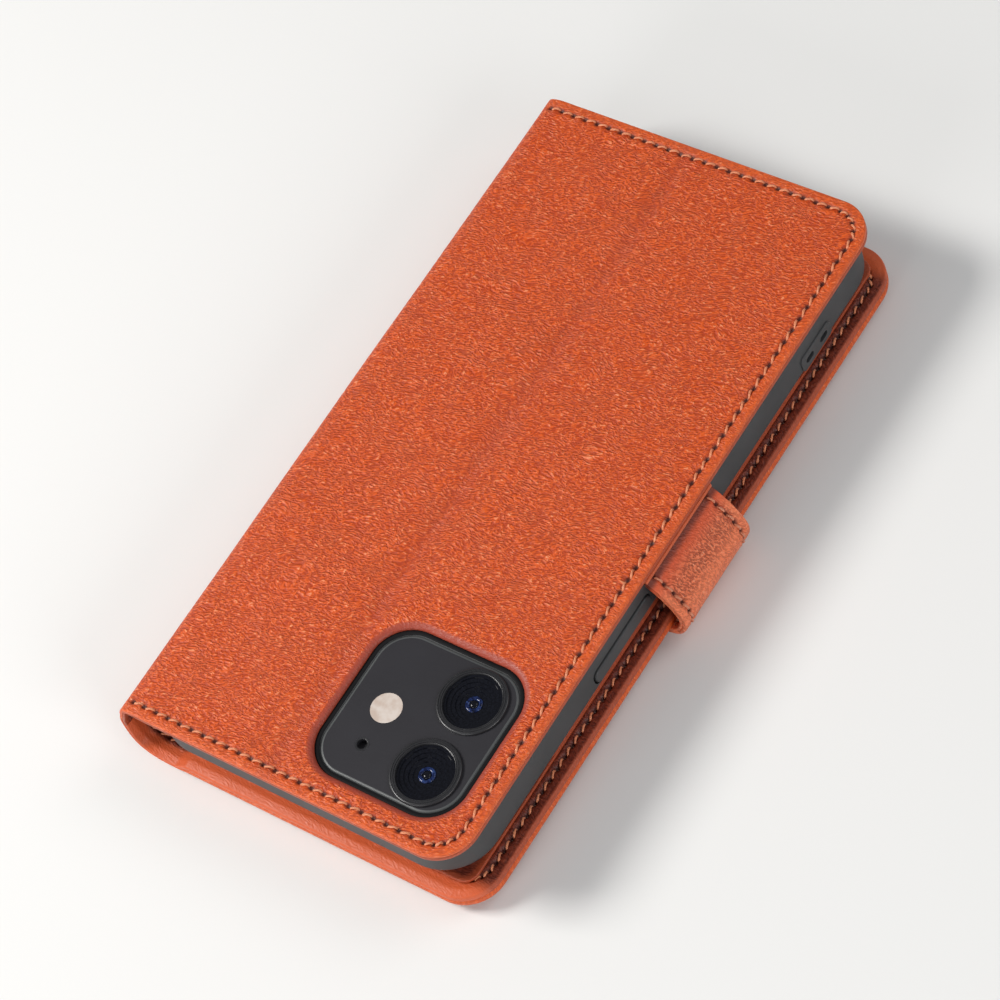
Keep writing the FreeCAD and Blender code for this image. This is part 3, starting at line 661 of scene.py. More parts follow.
def leather(name, deep, main, light, edge, grain=1.0, fold=(0.34, 0.055, 0.032)):
    """Coated leather: short wrinkles that run across, painted highlights as light flecks on their crests,
    painted shade in their valleys, and a paler rim.
    """
    n = Nodes(name, 0.42, specular=0.42)
    flat = n.flat(math.radians(12))
    loose = n.warp(n.warp(flat, 0.12, 4.0), 1.1, 0.6)
    stretched = n.mapped(loose, (0.85, 2.0, 1.0))
    crests = n.noise(stretched, 1.2, 1.0, 0.5, 0.3, "RIDGED_MULTIFRACTAL")
    wrinkles = n.noise(stretched, 1.45, 1.0, 0.5, 0.3)
    fine = n.noise(stretched, 3.8, 2.0, 0.6, 0.3)
    broad = n.noise(flat, 0.045)
    cloud = n.noise(flat, 0.22, 3.0, 0.6)
    edge_mark, dark_shade_mask, shade_mask = n.marks()
    crest = n.span(crests, 0.0, 1.0, 0.5, 1.9)
    wrinkle = n.span(wrinkles, 0.0, 1.0, 0.28, 0.72)
    height = n.math("ADD", n.math("MULTIPLY", crest, 0.45), n.math("MULTIPLY", wrinkle, 0.55))
    height = n.math("ADD", height, n.math("MULTIPLY", fine, 0.09))
    patchy = n.math("MULTIPLY", n.span(broad, 0.85, 1.1, 0.35, 0.6), n.span(cloud, 0.8, 1.1, 0.35, 0.6))
    smooth = n.math("MULTIPLY", n.span(edge_mark, 1.0, 0.45), n.span(shade_mask, 1.0, 0.3))
    relief = n.math("MULTIPLY", height, n.math("MULTIPLY", patchy, smooth))
    n.bump(relief, 1.0, 0.36 * grain)
    # Painted shade in the wrinkles' valleys and painted highlights on their crests, by height; the cloud
    # and broad mixes below are random tone.
    colour = n.ramp(height, ((0.23, deep), (0.41, main), (0.52, main), (0.69, light)))
    colour = n.mix(n.span(cloud, 0.0, 0.04, 0.4, 0.75), colour, light)
    colour = n.mix(n.span(broad, 0.13, 0.0, 0.3, 0.6), colour, deep)
    colour = n.mix(n.math("MULTIPLY", edge_mark, 0.45), colour, edge)
    # Painted shade where the marks ask for it: along the pressed line, on the window's rolled edge and at
    # the strap's root.
    colour = n.mix(shade_mask, colour, fold)
    # Near-black painted shade in the needle holes and in the strap's root line.
    n.colour(n.mix(dark_shade_mask, colour, (0.08, 0.012, 0.006)))
    n.rough(n.span(height, 0.48, 0.25, 0.3, 0.9))
    return n.material


def thread_material(name, light, dark):
    """Waxed two-ply thread: bright strands with dark lines between them."""
    n = Nodes(name, 0.33)
    settings = {"Vector": n.flat(), "Scale": 1.6, "Distortion": 1.5}
    fibres = n.node("TexWave", settings, bands_direction="DIAGONAL")
    fuzz = n.noise(n.solid(), 6.0, 2.0)
    tone = n.math("ADD", n.math("MULTIPLY", fibres.outputs["Fac"], 0.6), n.math("MULTIPLY", fuzz, 0.5))
    bright = tuple(min(1, c * 1.2) for c in light)
    n.colour(n.ramp(tone, ((0.2, dark), (0.6, light), (0.95, bright))))
    n.bump(tone, 0.4, 0.08)
    n.set(n.shader, {"Sheen Weight": 0.2})
    return n.material


def moulded(name, colour, light, rough, scale=9.0, bump=0.12, specular=0.5):
    """Moulded rubber or plastic with a very fine texture and faint wear."""
    n = Nodes(name, rough, specular=specular)
    where = n.solid()
    speck = n.noise(where, scale)
    broad = n.noise(where, 0.08, 2.0)
    n.colour(n.mix(n.span(n.math("ADD", speck, broad), 0.0, 1.0, 0.7, 1.3), colour, light))
    n.rough(n.span(speck, rough - 0.07, rough + 0.08, 0.3, 0.7))
    n.bump(speck, bump, 0.05)
    return n.material


def board(name):
    """Grey-brown pressed fibre board, seen only when a sheet is hidden."""
    n = Nodes(name, 0.85)
    fibre = n.noise(n.solid(), 1.6, 5.0, 0.7, 1.5)
    n.colour(n.ramp(fibre, ((0.3, (0.19, 0.15, 0.11)), (0.7, (0.4, 0.33, 0.25)))))
    n.bump(fibre, 0.4, 0.1)
    return n.material


def metal(name, colour, rough):
    """Brushed metal: fine lines along X that change its tone and its gloss."""
    n = Nodes(name, rough, metallic=1.0)
    lines = n.noise(n.mapped(n.solid(), (0.4, 8.0, 1.0)), 1.0)
    n.colour(n.mix(lines, tuple(c * 0.8 for c in colour), colour))
    n.rough(n.span(lines, rough - 0.08, rough + 0.1))
    return n.material


def tinted(name, rough, specular, stops, scale, *noise):
    """A smooth surface whose colour drifts between the ramp's stops."""
    n = Nodes(name, rough, specular=specular)
    n.colour(n.ramp(n.noise(n.solid(), scale, *noise), stops))
    return n


def flash_cream():
    """The flash window: cream, with a faint pattern of cells under a clear coat."""
    n = tinted("flash_cream", 0.3, 0.5, ((0.35, (0.56, 0.45, 0.38)), (0.65, (0.68, 0.6, 0.54))), 0.5, 2.0)
    cells = n.node("TexVoronoi", {"Vector": n.solid(), "Scale": 2.2}, feature="DISTANCE_TO_EDGE")
    n.bump(cells.outputs["Distance"], 0.12, 0.06)
    n.set(n.shader, {"Coat Weight": 0.6})
    return n.material


LEATHER = leather(
    "leather_outer", (0.46, 0.047, 0.005), (0.715, 0.099, 0.0095), (1.0, 0.5, 0.28), (0.74, 0.135, 0.027))
# The strap's last colour, a darker red, is painted shade where it comes out from under the panel.
STRAP = leather(
    "leather_strap", (0.46, 0.084, 0.032), (0.92, 0.205, 0.08), (1.0, 0.56, 0.36), (0.92, 0.24, 0.1),
    1.6, (0.7, 0.088, 0.022))
# The lining is the outer leather's orange painted much darker, as shade inside the case; its edge colour
# is that orange.
LINING_SHADED = leather(
    "leather_lining", (0.13, 0.02, 0.01), (0.22, 0.038, 0.018), (0.36, 0.09, 0.048), (0.66, 0.115, 0.035),
    0.6)
THREAD = thread_material("thread_apricot", (0.82, 0.3, 0.14), (0.52, 0.13, 0.05))
SALMON = thread_material("thread_salmon", (0.76, 0.28, 0.15), (0.42, 0.1, 0.045))
RUBBER = moulded("rubber_grey", (0.028, 0.029, 0.03), (0.05, 0.051, 0.054), 0.5)
# The rim round the camera plate is the shell's rubber painted near black, as shade in the gap there.
RIM_SHADE = moulded("rubber_black_shade", (0.004, 0.004, 0.005), (0.007, 0.007, 0.008), 0.6, specular=0.15)
KEY = moulded("rubber_key", (0.026, 0.027, 0.028), (0.047, 0.048, 0.051), 0.45)
BODY = moulded("handset_body", (0.014, 0.015, 0.017), (0.03, 0.031, 0.034), 0.35)
PLATE = moulded("camera_plate_glass", (0.014, 0.013, 0.017), (0.019, 0.018, 0.023), 0.42, 12.0, 0.03)
RING = moulded("lens_ring_black", (0.016, 0.016, 0.018), (0.024, 0.024, 0.027), 0.3, 10.0, 0.03)
# The bevel's lighter grey is a painted highlight: the light line that runs round the plate's edge.
BEVEL_HIGHLIGHT = moulded("plate_bevel", (0.06, 0.066, 0.067), (0.09, 0.097, 0.098), 0.42, 10.0, 0.02)
STEEL = metal("keeper_steel", (0.62, 0.62, 0.6), 0.32)
MAGNET = metal("magnet_nickel", (0.7, 0.69, 0.66), 0.24)
BOARD = board("fibre_board")
COATING = ((0.3, (0.003, 0.003, 0.005)), (0.7, (0.008, 0.009, 0.014)))
LENS = tinted("lens_coated_black", 0.08, 0.22, COATING, 3.0, 2.0).material
IRIS_BLUES = ((0.36, (0.002, 0.003, 0.01)), (0.5, (0.008, 0.016, 0.07)), (0.66, (0.028, 0.055, 0.17)))
IRIS = tinted("lens_iris_blue", 0.12, 0.3, IRIS_BLUES, 1.2, 3.0, 0.6, 1.0).material
FLASH = flash_cream()


# ---- the skins' tracks
SKIN = 1.0
SPINE_MIDDLE = (-0.8, 9.6)
track = Track([
    (BACK_REACH, HEIGHT), (BACK_REACH - 20, HEIGHT), (30, HEIGHT), (9, HEIGHT), (4.6, HEIGHT - 0.1),
    (2.4, HEIGHT - 0.9), (1.35, HEIGHT - 2.3), (0.6, HEIGHT - 4.2), (-0.3, HEIGHT - 6.2),
    SPINE_MIDDLE, (-0.85, 7.0), (-0.55, 4.6), (0.35, 2.5), (2.1, 1.05), (4.4, 0.35), (7.5, 0.03),
    (11, 0), (30, 0), (COVER_REACH - 20, 0), (COVER_REACH, 0),
])
MIDDLE = track.length_at(*SPINE_MIDDLE)
COVER_DEPTH = track.length - MIDDLE
SPINE_THICK = 1.2
COVER_START = track.length_at(8.5, 0)
OUTER_COVER = COVER_THICK / 2
LINING_SHEET = 1.0


def outer_lift(s, y, h):
    """Outer skin: s runs from the back panel's free edge."""
    h = np.where(h < 0, h * outer_depth(s) / SKIN, h)
    return track.bend(s, y * longer(s), -h)


def outer_depth(s):
    """How thick the outer leather is: thin on the spine, turned over a board on the cover."""
    on_spine = ease((s - MIDDLE + 10) / 6)
    on_cover = ease((s - COVER_START) / 4)
    return SKIN + (SPINE_THICK / 2 - SKIN) * on_spine + (OUTER_COVER - SPINE_THICK / 2) * on_cover


def cover_lift(q, y, h):
    """Outer skin: q runs from the front cover's free edge."""
    return outer_lift(track.length - q, y, h)


def longer(s):
    """The front cover is a little longer than the back; the spine makes up the difference."""
    return 1 + (COVER_HALF / BACK_HALF - 1) * ease((s - MIDDLE) / 14)


def inner_depth(s):
    """How far the lining's face lies below the outer skin."""
    on_back = ease((MIDDLE - 8 - s) / 6)
    on_cover = ease((s - COVER_START) / 4)
    return SPINE_THICK + (BACK_THICK - SPINE_THICK) * on_back + (COVER_THICK - SPINE_THICK) * on_cover


def lining_lift(s, y, h):
    """Lining: its own face looks into the case, and its thickness fills up to the outer skin."""
    depth = inner_depth(s)
    h = np.where(h < 0, h * (depth - outer_depth(s)) / LINING_SHEET, h)
    return track.bend(s, y * longer(s), depth + h)


def cover_lining_lift(q, y, h):
    return lining_lift(track.length - q, y, h)


# ---- outer skin and linings
STITCH_INSET = 2.35
PITCH = 2.8
SEAM_START = 3.9
BAND = 3.6
WINDOW_CORNER = 7.8
RIM_WIDTH = 1.25
CREASE = BACK_REACH - 36.5
RINGS = (0.75, 1.1, 1.45, 1.75, 2.0, 2.2, 2.4, 2.6, 2.85, 3.2, BAND)
END_HEM = 1.9
HEM_BAND = 5.2
HEM_RINGS = RINGS + (3.9, 4.1, 4.25, 4.4, 4.55, 4.7, 4.9, HEM_BAND)
WINDOW_ROLL = (
    (-1.7, 0.0), (-1.4, -0.01), (-1.1, -0.04), (-0.8, -0.11),
    (-0.52, -0.24), (-0.28, -0.42), (-0.1, -0.65), (0.0, -0.9),
)


def plate_outline(margin, corner):
    """An outline round the camera plate, margin outside its edge."""
    low, high = case_box("camera_plate")
    nearest = (BACK_REACH - high.x - margin, low.y - margin)
    return RoundBox(nearest, (BACK_REACH - low.x + margin, high.y + margin), corner, 0.4)


def crease_relief(q):
    """A narrow pressed line in a shallow trough."""
    return -0.38 * bell(q, CREASE, 1.3) - 0.22 * bell(q, CREASE, 4.2)


def skin_marks(outline, seam, window=None):
    """Marks: the paler edge rim and strip, painted shade in the needle holes, and painted shade along the
    pressed line and on the window's rolled edge.
    """
    def marks(q, y):
        gap = outline.gap(q, y)
        edge = 0.5 * fade(gap, 0.0, 0.55) + 0.5 * fade(gap - STITCH_INSET, -0.7, 0.7)
        band = 0.0
        if window:
            # Painted shade: a dark line along the pressed line and a dark band on the window's rolled
            # edge.
            fold = fade(-window.gap(q, y), 0.95, 0.45)
            band = np.maximum(0.24 * bell(q, CREASE, 2.0), 0.92 * fold)
        return paint(edge, seam.hole_shade(q, y), band)
    return marks


def near_end(y):
    """1 along the case's two ends, 0 further in than 7 mm."""
    return ease((np.abs(y) - BACK_HALF + 7) / 4)


def hem_marks(outline, seam):
    """The cover's inside: the outer leather is turned over the rim and shows along the two ends."""
    def marks(q, y):
        gap = outline.gap(q, y)
        edge = np.maximum(fade(gap, 0.25, 0.5), 2.1 * near_end(y) * fade(gap, 3.0, 0.9))
        return paint(edge, seam.hole_shade(q, y))
    return marks


def undulation(q, y):
    """The panel isn't dead flat: shallow swells a few centimetres long."""
    short = np.sin(q / 6.1 + 0.6 * np.sin(y / 14)) * np.sin(y / 9.3 + 1.1)
    return 0.05 * (short + np.sin(q / 11 - y / 17 + 0.8))


def outer_skins():
    outline = FreeEdge(BACK_HALF, CORNER, MIDDLE)
    start = MIDDLE - (BACK_REACH - SEAM_START)
    seam = Seam(outline, STITCH_INSET, PITCH, start)
    window = plate_outline(RIM_WIDTH, WINDOW_CORNER)
    roll = WINDOW_ROLL + ((0.0, -SKIN), (-1.7, -SKIN))
    skin = Skin(outline, SKIN, bead(SKIN, 0.3, BAND), RINGS, 0.9, [(window, roll)])

    def relief(q, y):
        inside = ease((outline.gap(q, y) - 1.2) / 2.5)
        return seam.relief(q, y) + (crease_relief(q) + undulation(q, y)) * inside

    marks = skin_marks(outline, seam, window)
    back = skin.finish("back_leather_skin", LEATHER, outer_lift, relief, marks)
    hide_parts("back_outer_leather", "spine_outer_leather")
    thread = seam.thread("back_stitches", outer_lift, THREAD)
    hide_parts("back_stitching")
    for piece, slot in ((back, "leather_outer"), (thread, "thread")):
        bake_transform(piece)

    outline = FreeEdge(BACK_HALF, CORNER, COVER_DEPTH)
    start = COVER_DEPTH - (COVER_REACH - SEAM_START)
    seam = Seam(outline, STITCH_INSET, PITCH, start)
    skin = Skin(outline, SKIN, bead(SKIN, 0.5, BAND), RINGS, 1.6)
    marks = skin_marks(outline, seam)
    cover = skin.finish("cover_leather_skin", LEATHER, cover_lift, seam.relief, marks, mirror=track.length)
    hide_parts("front_outer_leather", "spine_outer_leather")
    thread = seam.thread("cover_outside_stitches", cover_lift, THREAD)
    for piece, slot in ((cover, "leather_outer"), (thread, "thread")):
        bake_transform(piece)


def linings():
    outline = FreeEdge(BACK_HALF, CORNER, MIDDLE, 0.5)
    window = plate_outline(RIM_WIDTH, WINDOW_CORNER)
    rim = ((-1.7, 0.0), (-0.3, 0.0), (0.0, -0.3), (0.0, -LINING_SHEET), (-1.7, -LINING_SHEET))
    edge = bead(LINING_SHEET, 0.3, BAND)
    skin = Skin(outline, LINING_SHEET, edge, (0.5, 1.5, BAND), 2.0, [(window, rim)])
    back = skin.finish("back_lining_skin", LINING_SHADED, lining_lift, None, edge_marks(outline, 0.5, 0.6))
    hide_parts("back_lining", "spine_lining")
    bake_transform(back)

    outline = FreeEdge(BACK_HALF, CORNER, COVER_DEPTH)
    row = FreeEdge(BACK_HALF - END_HEM, CORNER - 1.0, COVER_DEPTH)
    seam = Seam(row, 2.5, 2.6, 1.5)
    skin = Skin(outline, LINING_SHEET, bead(LINING_SHEET, 0.5, HEM_BAND), HEM_RINGS, 1.8)

    def relief(q, y):
        gap = outline.gap(q, y)
        return seam.relief(q, y) + 0.2 * near_end(y) * bell(gap, 1.6, 0.8)

    marks = hem_marks(outline, seam)
    cover = skin.finish("cover_lining_skin", LINING_SHADED, cover_lining_lift, relief, marks, mirror=track.length)
    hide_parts("front_lining", "spine_lining")
    thread = seam.thread("cover_inside_stitches", cover_lining_lift, THREAD)
    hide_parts("front_stitching")
    for piece, slot in ((cover, "leather_lining"), (thread, "thread")):
        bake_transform(piece)


outer_skins()
linings()


# ---- clasp strap
STRAP_LOW, _ = case_box("strap_tab_leather")
_, STRAP_OUT = case_box("strap_side_leather")
STRAP_MIDDLE = (STRAP_LOW.y + STRAP_OUT.y) / 2
STRAP_HALF = (STRAP_OUT.y - STRAP_LOW.y) / 2
PANEL_BOTTOM = HEIGHT - BACK_THICK
STRAP_BOTTOM = STRAP_LOW.z + 0.4
strap_track = Track([
    (BACK_REACH - 4.5, PANEL_BOTTOM - 0.05), (BACK_REACH - 2.1, PANEL_BOTTOM - 0.15),
    (BACK_REACH + 0.3, PANEL_BOTTOM - 1.1), (BACK_REACH + 2.6, PANEL_BOTTOM - 3.4),
    (BACK_REACH + 4.6, PANEL_BOTTOM - 6.6), (STRAP_OUT.x - 0.5, 6.4), (STRAP_OUT.x - 0.6, 4.0),
    (STRAP_OUT.x - 1.6, 1.4), (STRAP_OUT.x - 3.7, -0.95), (STRAP_OUT.x - 6.8, STRAP_BOTTOM),
    (STRAP_OUT.x - 10, STRAP_BOTTOM), (STRAP_LOW.x + 8, STRAP_BOTTOM), (STRAP_LOW.x, STRAP_BOTTOM),
])
STRAP_SPLIT = strap_track.length - strap_track.length_at(STRAP_OUT.x, 6.4)
STRAP_THICK = 1.6
STRAP_SKIN = 0.9
STRAP_STITCH = 2.2


def strap_depth(s):
    """Thickness of the strap: thin where it is sewn in, thicker round the magnets."""
    return 0.85 + 0.75 * ease((s - 1.5) / 5) + 0.3 * ease((s - strap_track.length + 24) / 5)


def strap_lift(q, y, h):
    """The strap's outer leather: q runs from the tab's free end."""
    s = strap_track.length - q
    h = np.where(h < 0, h * strap_depth(s) / STRAP_THICK, h)
    return strap_track.bend(s, STRAP_MIDDLE + y, h)


def strap_lining_lift(q, y, h):
    s = strap_track.length - q
    depth = strap_depth(s)
    h = np.where(h < 0, h * depth / STRAP_THICK, h)
    return strap_track.bend(s, STRAP_MIDDLE + y, -(depth + h))


def strap():
    outline = FreeEdge(STRAP_HALF, 7.0, strap_track.length)
    rings = (0.22, 0.8, 1.3, 1.6, 1.85, 2.05, 2.25, 2.45, 2.7, 3.0, 3.5)
    seam = Seam(outline, STRAP_STITCH, 2.7, 2.0, -0.1)
    lining_sheet = STRAP_THICK - STRAP_SKIN
    outer = Skin(outline, STRAP_SKIN, cut_edge(STRAP_SKIN, 3.5), rings, 0.9)
    inner = Skin(outline, lining_sheet, cut_edge(lining_sheet, 3.5), rings, 1.2)
    blends = (("upper", "side", lambda q: q > STRAP_SPLIT, "back_cover", "strap_side", STRAP_ROOT),
              ("lower", "tab", lambda q: q <= STRAP_SPLIT, "strap_side", "strap_tab", STRAP_BEND))
    emerges = strap_track.length_at(BACK_REACH + 0.3, PANEL_BOTTOM - 1.1)

    def marks(q, y):
        """Painted shade, dark and red, where the strap comes out from under the panel; paler and smoother
        round the bend.
        """
        gap = outline.gap(q, y)
        out = strap_track.length - q - emerges
        paler_bend = 0.85 * ease((out - 6.5) / 3) * fade(out, 15, 5)
        # Painted shadow: a near-black line where the strap leaves the panel's edge, as well as the shade
        # in the needle holes.
        dark_shade_mask = np.maximum(seam.hole_shade(q, y, 0.3), 0.85 * fade(out, 0.3, 1.3))
        return paint(np.maximum(fade(gap, 0.9, 0.9), paler_bend), dark_shade_mask, 0.85 * fade(out, 1.0, 4))

    for end, node, part, first, second, bend in blends:
        top = outer.finish(f"strap_{end}_skin", STRAP, strap_lift, seam.relief, marks, part)
        under = inner.finish(f"strap_{end}_lining", STRAP, strap_lining_lift, seam.relief, marks, part)
        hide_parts(f"strap_{node}_leather")
        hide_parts(f"strap_{node}_lining")
        for piece in (top, under):
            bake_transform(piece)
    total = outline.total
    runs = (("upper_near", 0, STRAP_JOIN, 0), ("upper_far", total - STRAP_JOIN, total, 0),
            ("lower", STRAP_JOIN, total - STRAP_JOIN, 1))
    for name, low, high, which in runs:
        first, second, bend = blends[which][3:]
        for side, lift in (("outside", strap_lift), ("inside", strap_lining_lift)):
            row = seam.part(low, high)
            thread = row.thread(f"strap_{name}_{side}_stitches", lift, SALMON, 0.22, 0.16, 0.12)
            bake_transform(thread)


def strap_magnets():
    """The two disc magnets between the tab's leathers, small enough to clear the needle holes."""
    low, high = case_box("strap_magnets")
    full = (high.x - low.x) / 2
    radius, thick, bevel = full - 0.9, 0.6, 0.15
    section = (
        (AXIS, 0), (radius - bevel, 0), (radius, bevel),
        (radius, thick - bevel), (radius - bevel, thick), (AXIS, thick),
    )
    discs = []
    for y in (low.y + full, high.y - full):
        points, faces = turned(section, ((low.x + high.x) / 2, y, STRAP_BOTTOM + STRAP_SKIN - 0.15), 48)
        discs.append((points, faces, points[:, :2]))
    points, faces, flat = join_meshes(discs)
    piece = new_mesh("strap_magnet_discs", points, faces, MAGNET, flat, sharp=math.radians(40))
    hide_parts("strap_magnets")
    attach(piece, "strap_tab")


STRAP_JOIN = strap_track.length - STRAP_SPLIT
STRAP_ROOT = place([(BACK_REACH - 0.6, 0, PANEL_BOTTOM + 0.2), (BACK_REACH + 3.4, 0, PANEL_BOTTOM - 4.4)])
STRAP_BEND = place([(STRAP_OUT.x - 2.2, 0, 2.6), (STRAP_OUT.x - 8.2, 0, -1.6)])
strap()
strap_magnets()


# ---- card pockets and cover board
def level_lift(top):
    """A sheet that lies level with its face at height top; q runs from the cover's free edge."""
    return lambda q, y, h: np.stack([COVER_REACH - q, y, top + h], axis=1)


def pocket(node):
    """A pocket sheet with a bound mouth on the side towards the spine."""
    low, high = case_box(node)
    thick = (high.z - low.z) * 0.96
    outline = RoundBox((COVER_REACH - high.x, low.y), (COVER_REACH - low.x, high.y), 3.0, 0.6)

    def relief(q, y):
        mouth = COVER_REACH - low.x - q
        return 0.1 * bell(mouth, 1.2, 0.9) - 0.12 * bell(mouth, 2.6, 0.35)

    skin = Skin(outline, thick, bead(thick, 0.3, 2.9), (0.3, 0.9, 1.6, 2.3, 2.9), 2.2)
    lift, marks = level_lift(high.z), edge_marks(outline, 0.6, 0.8)
    sheet = skin.finish(f"{node}_leather", LINING_SHADED, lift, relief, marks)
    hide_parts(node)
    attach(sheet, "front_cover")


for node in ("cash_pocket", "card_slot_1", "card_slot_2", "card_slot_3"):
    pocket(node)


def cover_board():
    """The cover's board, held back from the fold so that the leather there stays thin."""
    low, high = case_box("front_board")
    outline = RoundBox((COVER_REACH - high.x, low.y), (COVER_REACH - BOARD_START, high.y), 6.0, 1.0)
    thick = high.z - low.z
    sheet = Skin(outline, thick, cut_edge(thick, 3.0), (1.0, 3.0), 6.0)
    piece = sheet.finish("front_board_insert", BOARD, level_lift(high.z))
    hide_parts("front_board")
    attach(piece, "front_cover")


BOARD_START = 11.5
cover_board()


# ---- camera lenses
def loop_piece(name, outline, section, base, material):
    """A ring that follows an outline; section is its closed profile as (inset, height)."""
    columns = len(outline.a)
    rows = [(outline.loop(inset).T, base + height) for inset, height in section]
    points = [np.stack([BACK_REACH - q, y, np.full(columns, z)], axis=1) for (q, y), z in rows]
    return new_mesh(name, np.concatenate(points), grid_faces(len(section), columns, back=True), material)


def plate_trim():
    """The polished bevel round the camera plate, lightened as a painted highlight; the ring round the
    microphone's hole; and the rim round the plate, painted near black as shade.
    """
    outline = plate_outline(0.0, WINDOW_CORNER - RIM_WIDTH)
    top = case_box("camera_plate")[1].z
    bevel = loop_piece("camera_plate_bevel", outline, PLATE_BEVEL, top, BEVEL_HIGHLIGHT)
    flash_low, flash_high = case_box("flash_window")
    middle = (flash_low + flash_high) / 2
    profile = [(MIC_RADIUS + reach, height) for reach, height in MIC_RING]
    ring = lathe("mic_hole_ring", profile, (middle.x, MIC_Y, top), RING, 48)
    # The rim's near black is painted shade in the gap round the plate.
    rim = loop_piece("camera_rim", outline, CAMERA_RIM, top, RIM_SHADE)
    for piece, slot in ((bevel, "camera_plate"), (ring, "camera_plate"), (rim, "shell")):
        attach(piece, "back_cover")


def lens(kind):
    """A stepped ring, the barrel inside it, and the iris and the front glass at the barrel's bottom."""
    low, high = case_box(f"{kind}_lens_ring")
    centre = ((low.x + high.x) / 2, (low.y + high.y) / 2, low.z)
    radius, top = (high.x - low.x) / 2, high.z - low.z
    profile = [(radius - 0.05, 0.0)] + [(radius - inset, top - drop) for inset, drop in RING_STEPS]
    ring = lathe(f"{kind}_lens_stepped_ring", profile + [(radius - 1.3, 0.0)], centre, RING)
    glass = radius - 1.32
    profile = [(glass - inset, top - drop) for inset, drop in BARREL_STEPS]
    profile += [(AXIS, top - 1.5), (AXIS, top - 2.0), (glass, top - 2.0)]
    cup = lathe(f"{kind}_lens_barrel", profile, centre, LENS)
    turns = np.linspace(0, math.pi, 16)
    curl = [(1.28 - 0.4 * math.cos(t), top - 1.42 + 0.24 * math.sin(t)) for t in turns]
    iris = lathe(f"{kind}_lens_iris", curl, centre, IRIS, 64)
    turns = np.linspace(0, math.pi / 2, 12)
    dome = [(AXIS + 0.85 * math.sin(t), top - 1.44 + 0.45 * math.cos(t)) for t in turns]
    front = lathe(f"{kind}_lens_front", dome + [(AXIS, top - 1.46)], centre, LENS, 48)
    pieces = ((ring, "lens_ring"), (cup, "lens_glass"), (iris, "lens_glass"), (front, "lens_glass"))
    for piece, slot in pieces:
        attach(piece, "back_cover")
    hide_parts(f"{kind}_lens_ring")
    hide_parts(f"{kind}_lens_glass")


# Sections as (inset, height) or (reach, height); the lens steps as (inset, drop below the top).
MIC_Y = -61.8
MIC_RADIUS = 1.05
MIC_RING = ((-0.03, -0.6), (-0.03, 0.01), (0.04, 0.03), (0.4, 0.03), (0.46, -0.05), (0.46, -0.6))
PLATE_BEVEL = (
    (-0.2, -0.5), (-0.2, -0.24), (-0.04, -0.07), (0.16, 0.02), (0.34, 0.03), (0.4, -0.1), (0.4, -0.5),
)
CAMERA_RIM = (
    (-1.38, -0.8), (-1.38, -0.1), (-1.2, 0.08), (-0.95, 0.12), (-0.55, 0.12), (-0.3, 0.04), (-0.24, -0.8),
)
RING_STEPS = (
    (0.0, 0.3), (0.12, 0.08), (0.32, 0.0), (0.44, 0.0), (0.5, 0.1), (0.62, 0.1), (0.68, 0.0),
    (0.86, 0.0), (0.92, 0.12), (1.06, 0.12), (1.12, 0.03), (1.22, 0.06), (1.3, 0.3),
)
BARREL_STEPS = (
    (0.0, 0.45), (0.5, 0.5), (0.56, 0.75), (1.3, 0.85), (1.36, 1.0), (2.1, 1.08),
    (2.2, 1.25), (2.9, 1.3), (3.0, 1.45),
)
plate_trim()
lens("main")
lens("wide")


# ---- CAD nodes that stay
NODE_MATERIALS = {
    "tpu_shell": RUBBER, "side_button": KEY, "volume_up_button": KEY, "volume_down_button": KEY,
    "phone_body": BODY, "phone_screen": BODY, "camera_plate": PLATE, "flash_window": FLASH,
    "front_board": BOARD, "back_board_flap": BOARD, "back_board_fixed": BOARD, "keeper_plate": STEEL,
    "strap_anchor": STRAP,
}
for node, material in NODE_MATERIALS.items():
    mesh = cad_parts[node].data
    mesh.materials.clear()
    mesh.materials.append(material)


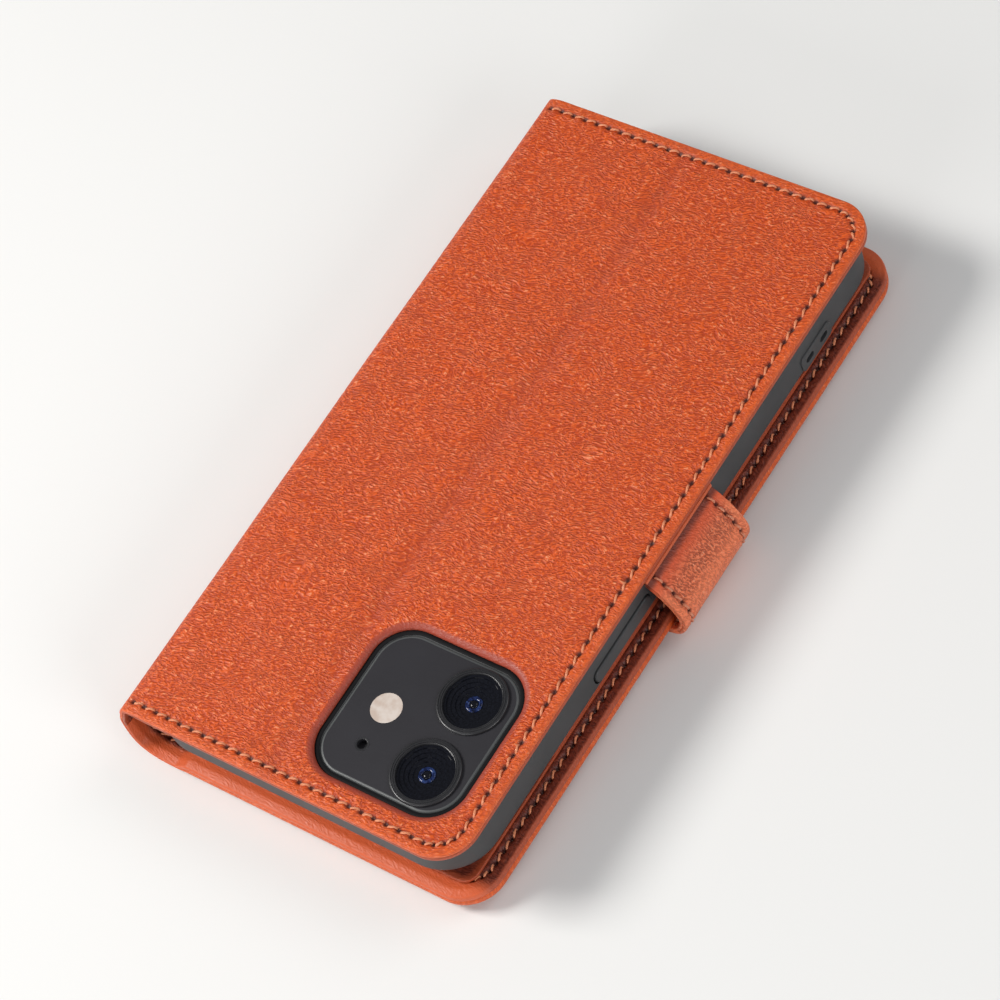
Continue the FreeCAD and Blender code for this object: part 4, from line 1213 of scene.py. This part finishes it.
# ---- floor, lights and camera
def stage_floor(half=40.0):
    """A plain pale floor. It glows far out, where the lights fall off, so that low views stay pale."""
    mesh = bpy.data.meshes.new("floor")
    corners = ((-half, -half), (half, -half), (half, half), (-half, half))
    mesh.from_pydata([(x, y, 0) for x, y in corners], [], [(0, 1, 2, 3)])
    n = Nodes("floor_pale", 0.9)
    away = n.node("VectorMath", {0: n.node("NewGeometry").outputs["Position"]}, operation="LENGTH")
    n.set(n.shader, {
        "Base Color": (0.82, 0.82, 0.81, 1), "Emission Color": (0.95, 0.95, 0.94, 1),
        "Emission Strength": n.span(away.outputs["Value"], 0.0, 0.72, 0.5, 1.6),
    })
    mesh.materials.append(n.material)
    floor = add_object("floor", mesh)


def area_light(name, where, size, power, colour=(1, 1, 1)):
    data = bpy.data.lights.new(name, "AREA")
    data.shape = "RECTANGLE"
    data.size, data.size_y = size
    data.energy = power
    data.color = colour
    light = add_object(name, data)
    light.location = where
    light.rotation_euler = (-Vector(where)).to_track_quat("-Z", "Y").to_euler()


def studio():
    world = bpy.data.worlds.new("studio")
    bpy.context.scene.world = world
    world.use_nodes = True
    sky = world.node_tree.nodes["Background"].inputs
    sky["Color"].default_value = (0.9, 0.92, 0.95, 1)
    sky["Strength"].default_value = 0.24
    area_light("key", (-0.62, -0.34, 0.7), (0.32, 0.32), 8.0, (1.0, 0.98, 0.95))
    area_light("top", (0.5, 0.55, 0.9), (0.6, 0.6), 2.2)
    area_light("right", (0.85, -0.25, 0.42), (0.5, 0.35), 3.0)
    area_light("front", (0.0, -0.95, 0.36), (0.5, 0.3), 2.4)
    bpy.context.scene.view_settings.view_transform = "Standard"


def camera():
    """Long lens, from above the camera end's free corner, rolled so that the case lies aslant."""
    data = bpy.data.cameras.new("camera")
    data.sensor_width = 36.0
    data.lens = 130.76
    data.clip_start = 0.01
    item = add_object("camera", data)
    azimuth, elevation, roll = math.radians(55.247), math.radians(54.298), math.radians(-26.496)
    target, distance = Vector((-3.592, -3.904, 10.3)) * MM, 685.79 * MM
    level = math.cos(elevation)
    back = Vector((math.sin(azimuth) * level, -math.cos(azimuth) * level, math.sin(elevation)))
    right = (-back).cross(Vector((0, 0, 1))).normalized()
    up = right.cross(-back)
    across = right * math.cos(roll) + up * math.sin(roll)
    upright = up * math.cos(roll) - right * math.sin(roll)
    turned_to = Matrix((across, upright, back)).transposed().to_4x4()
    item.matrix_world = Matrix.Translation(target + back * distance) @ turned_to
    bpy.context.scene.camera = item


stage_floor()
studio()
camera()
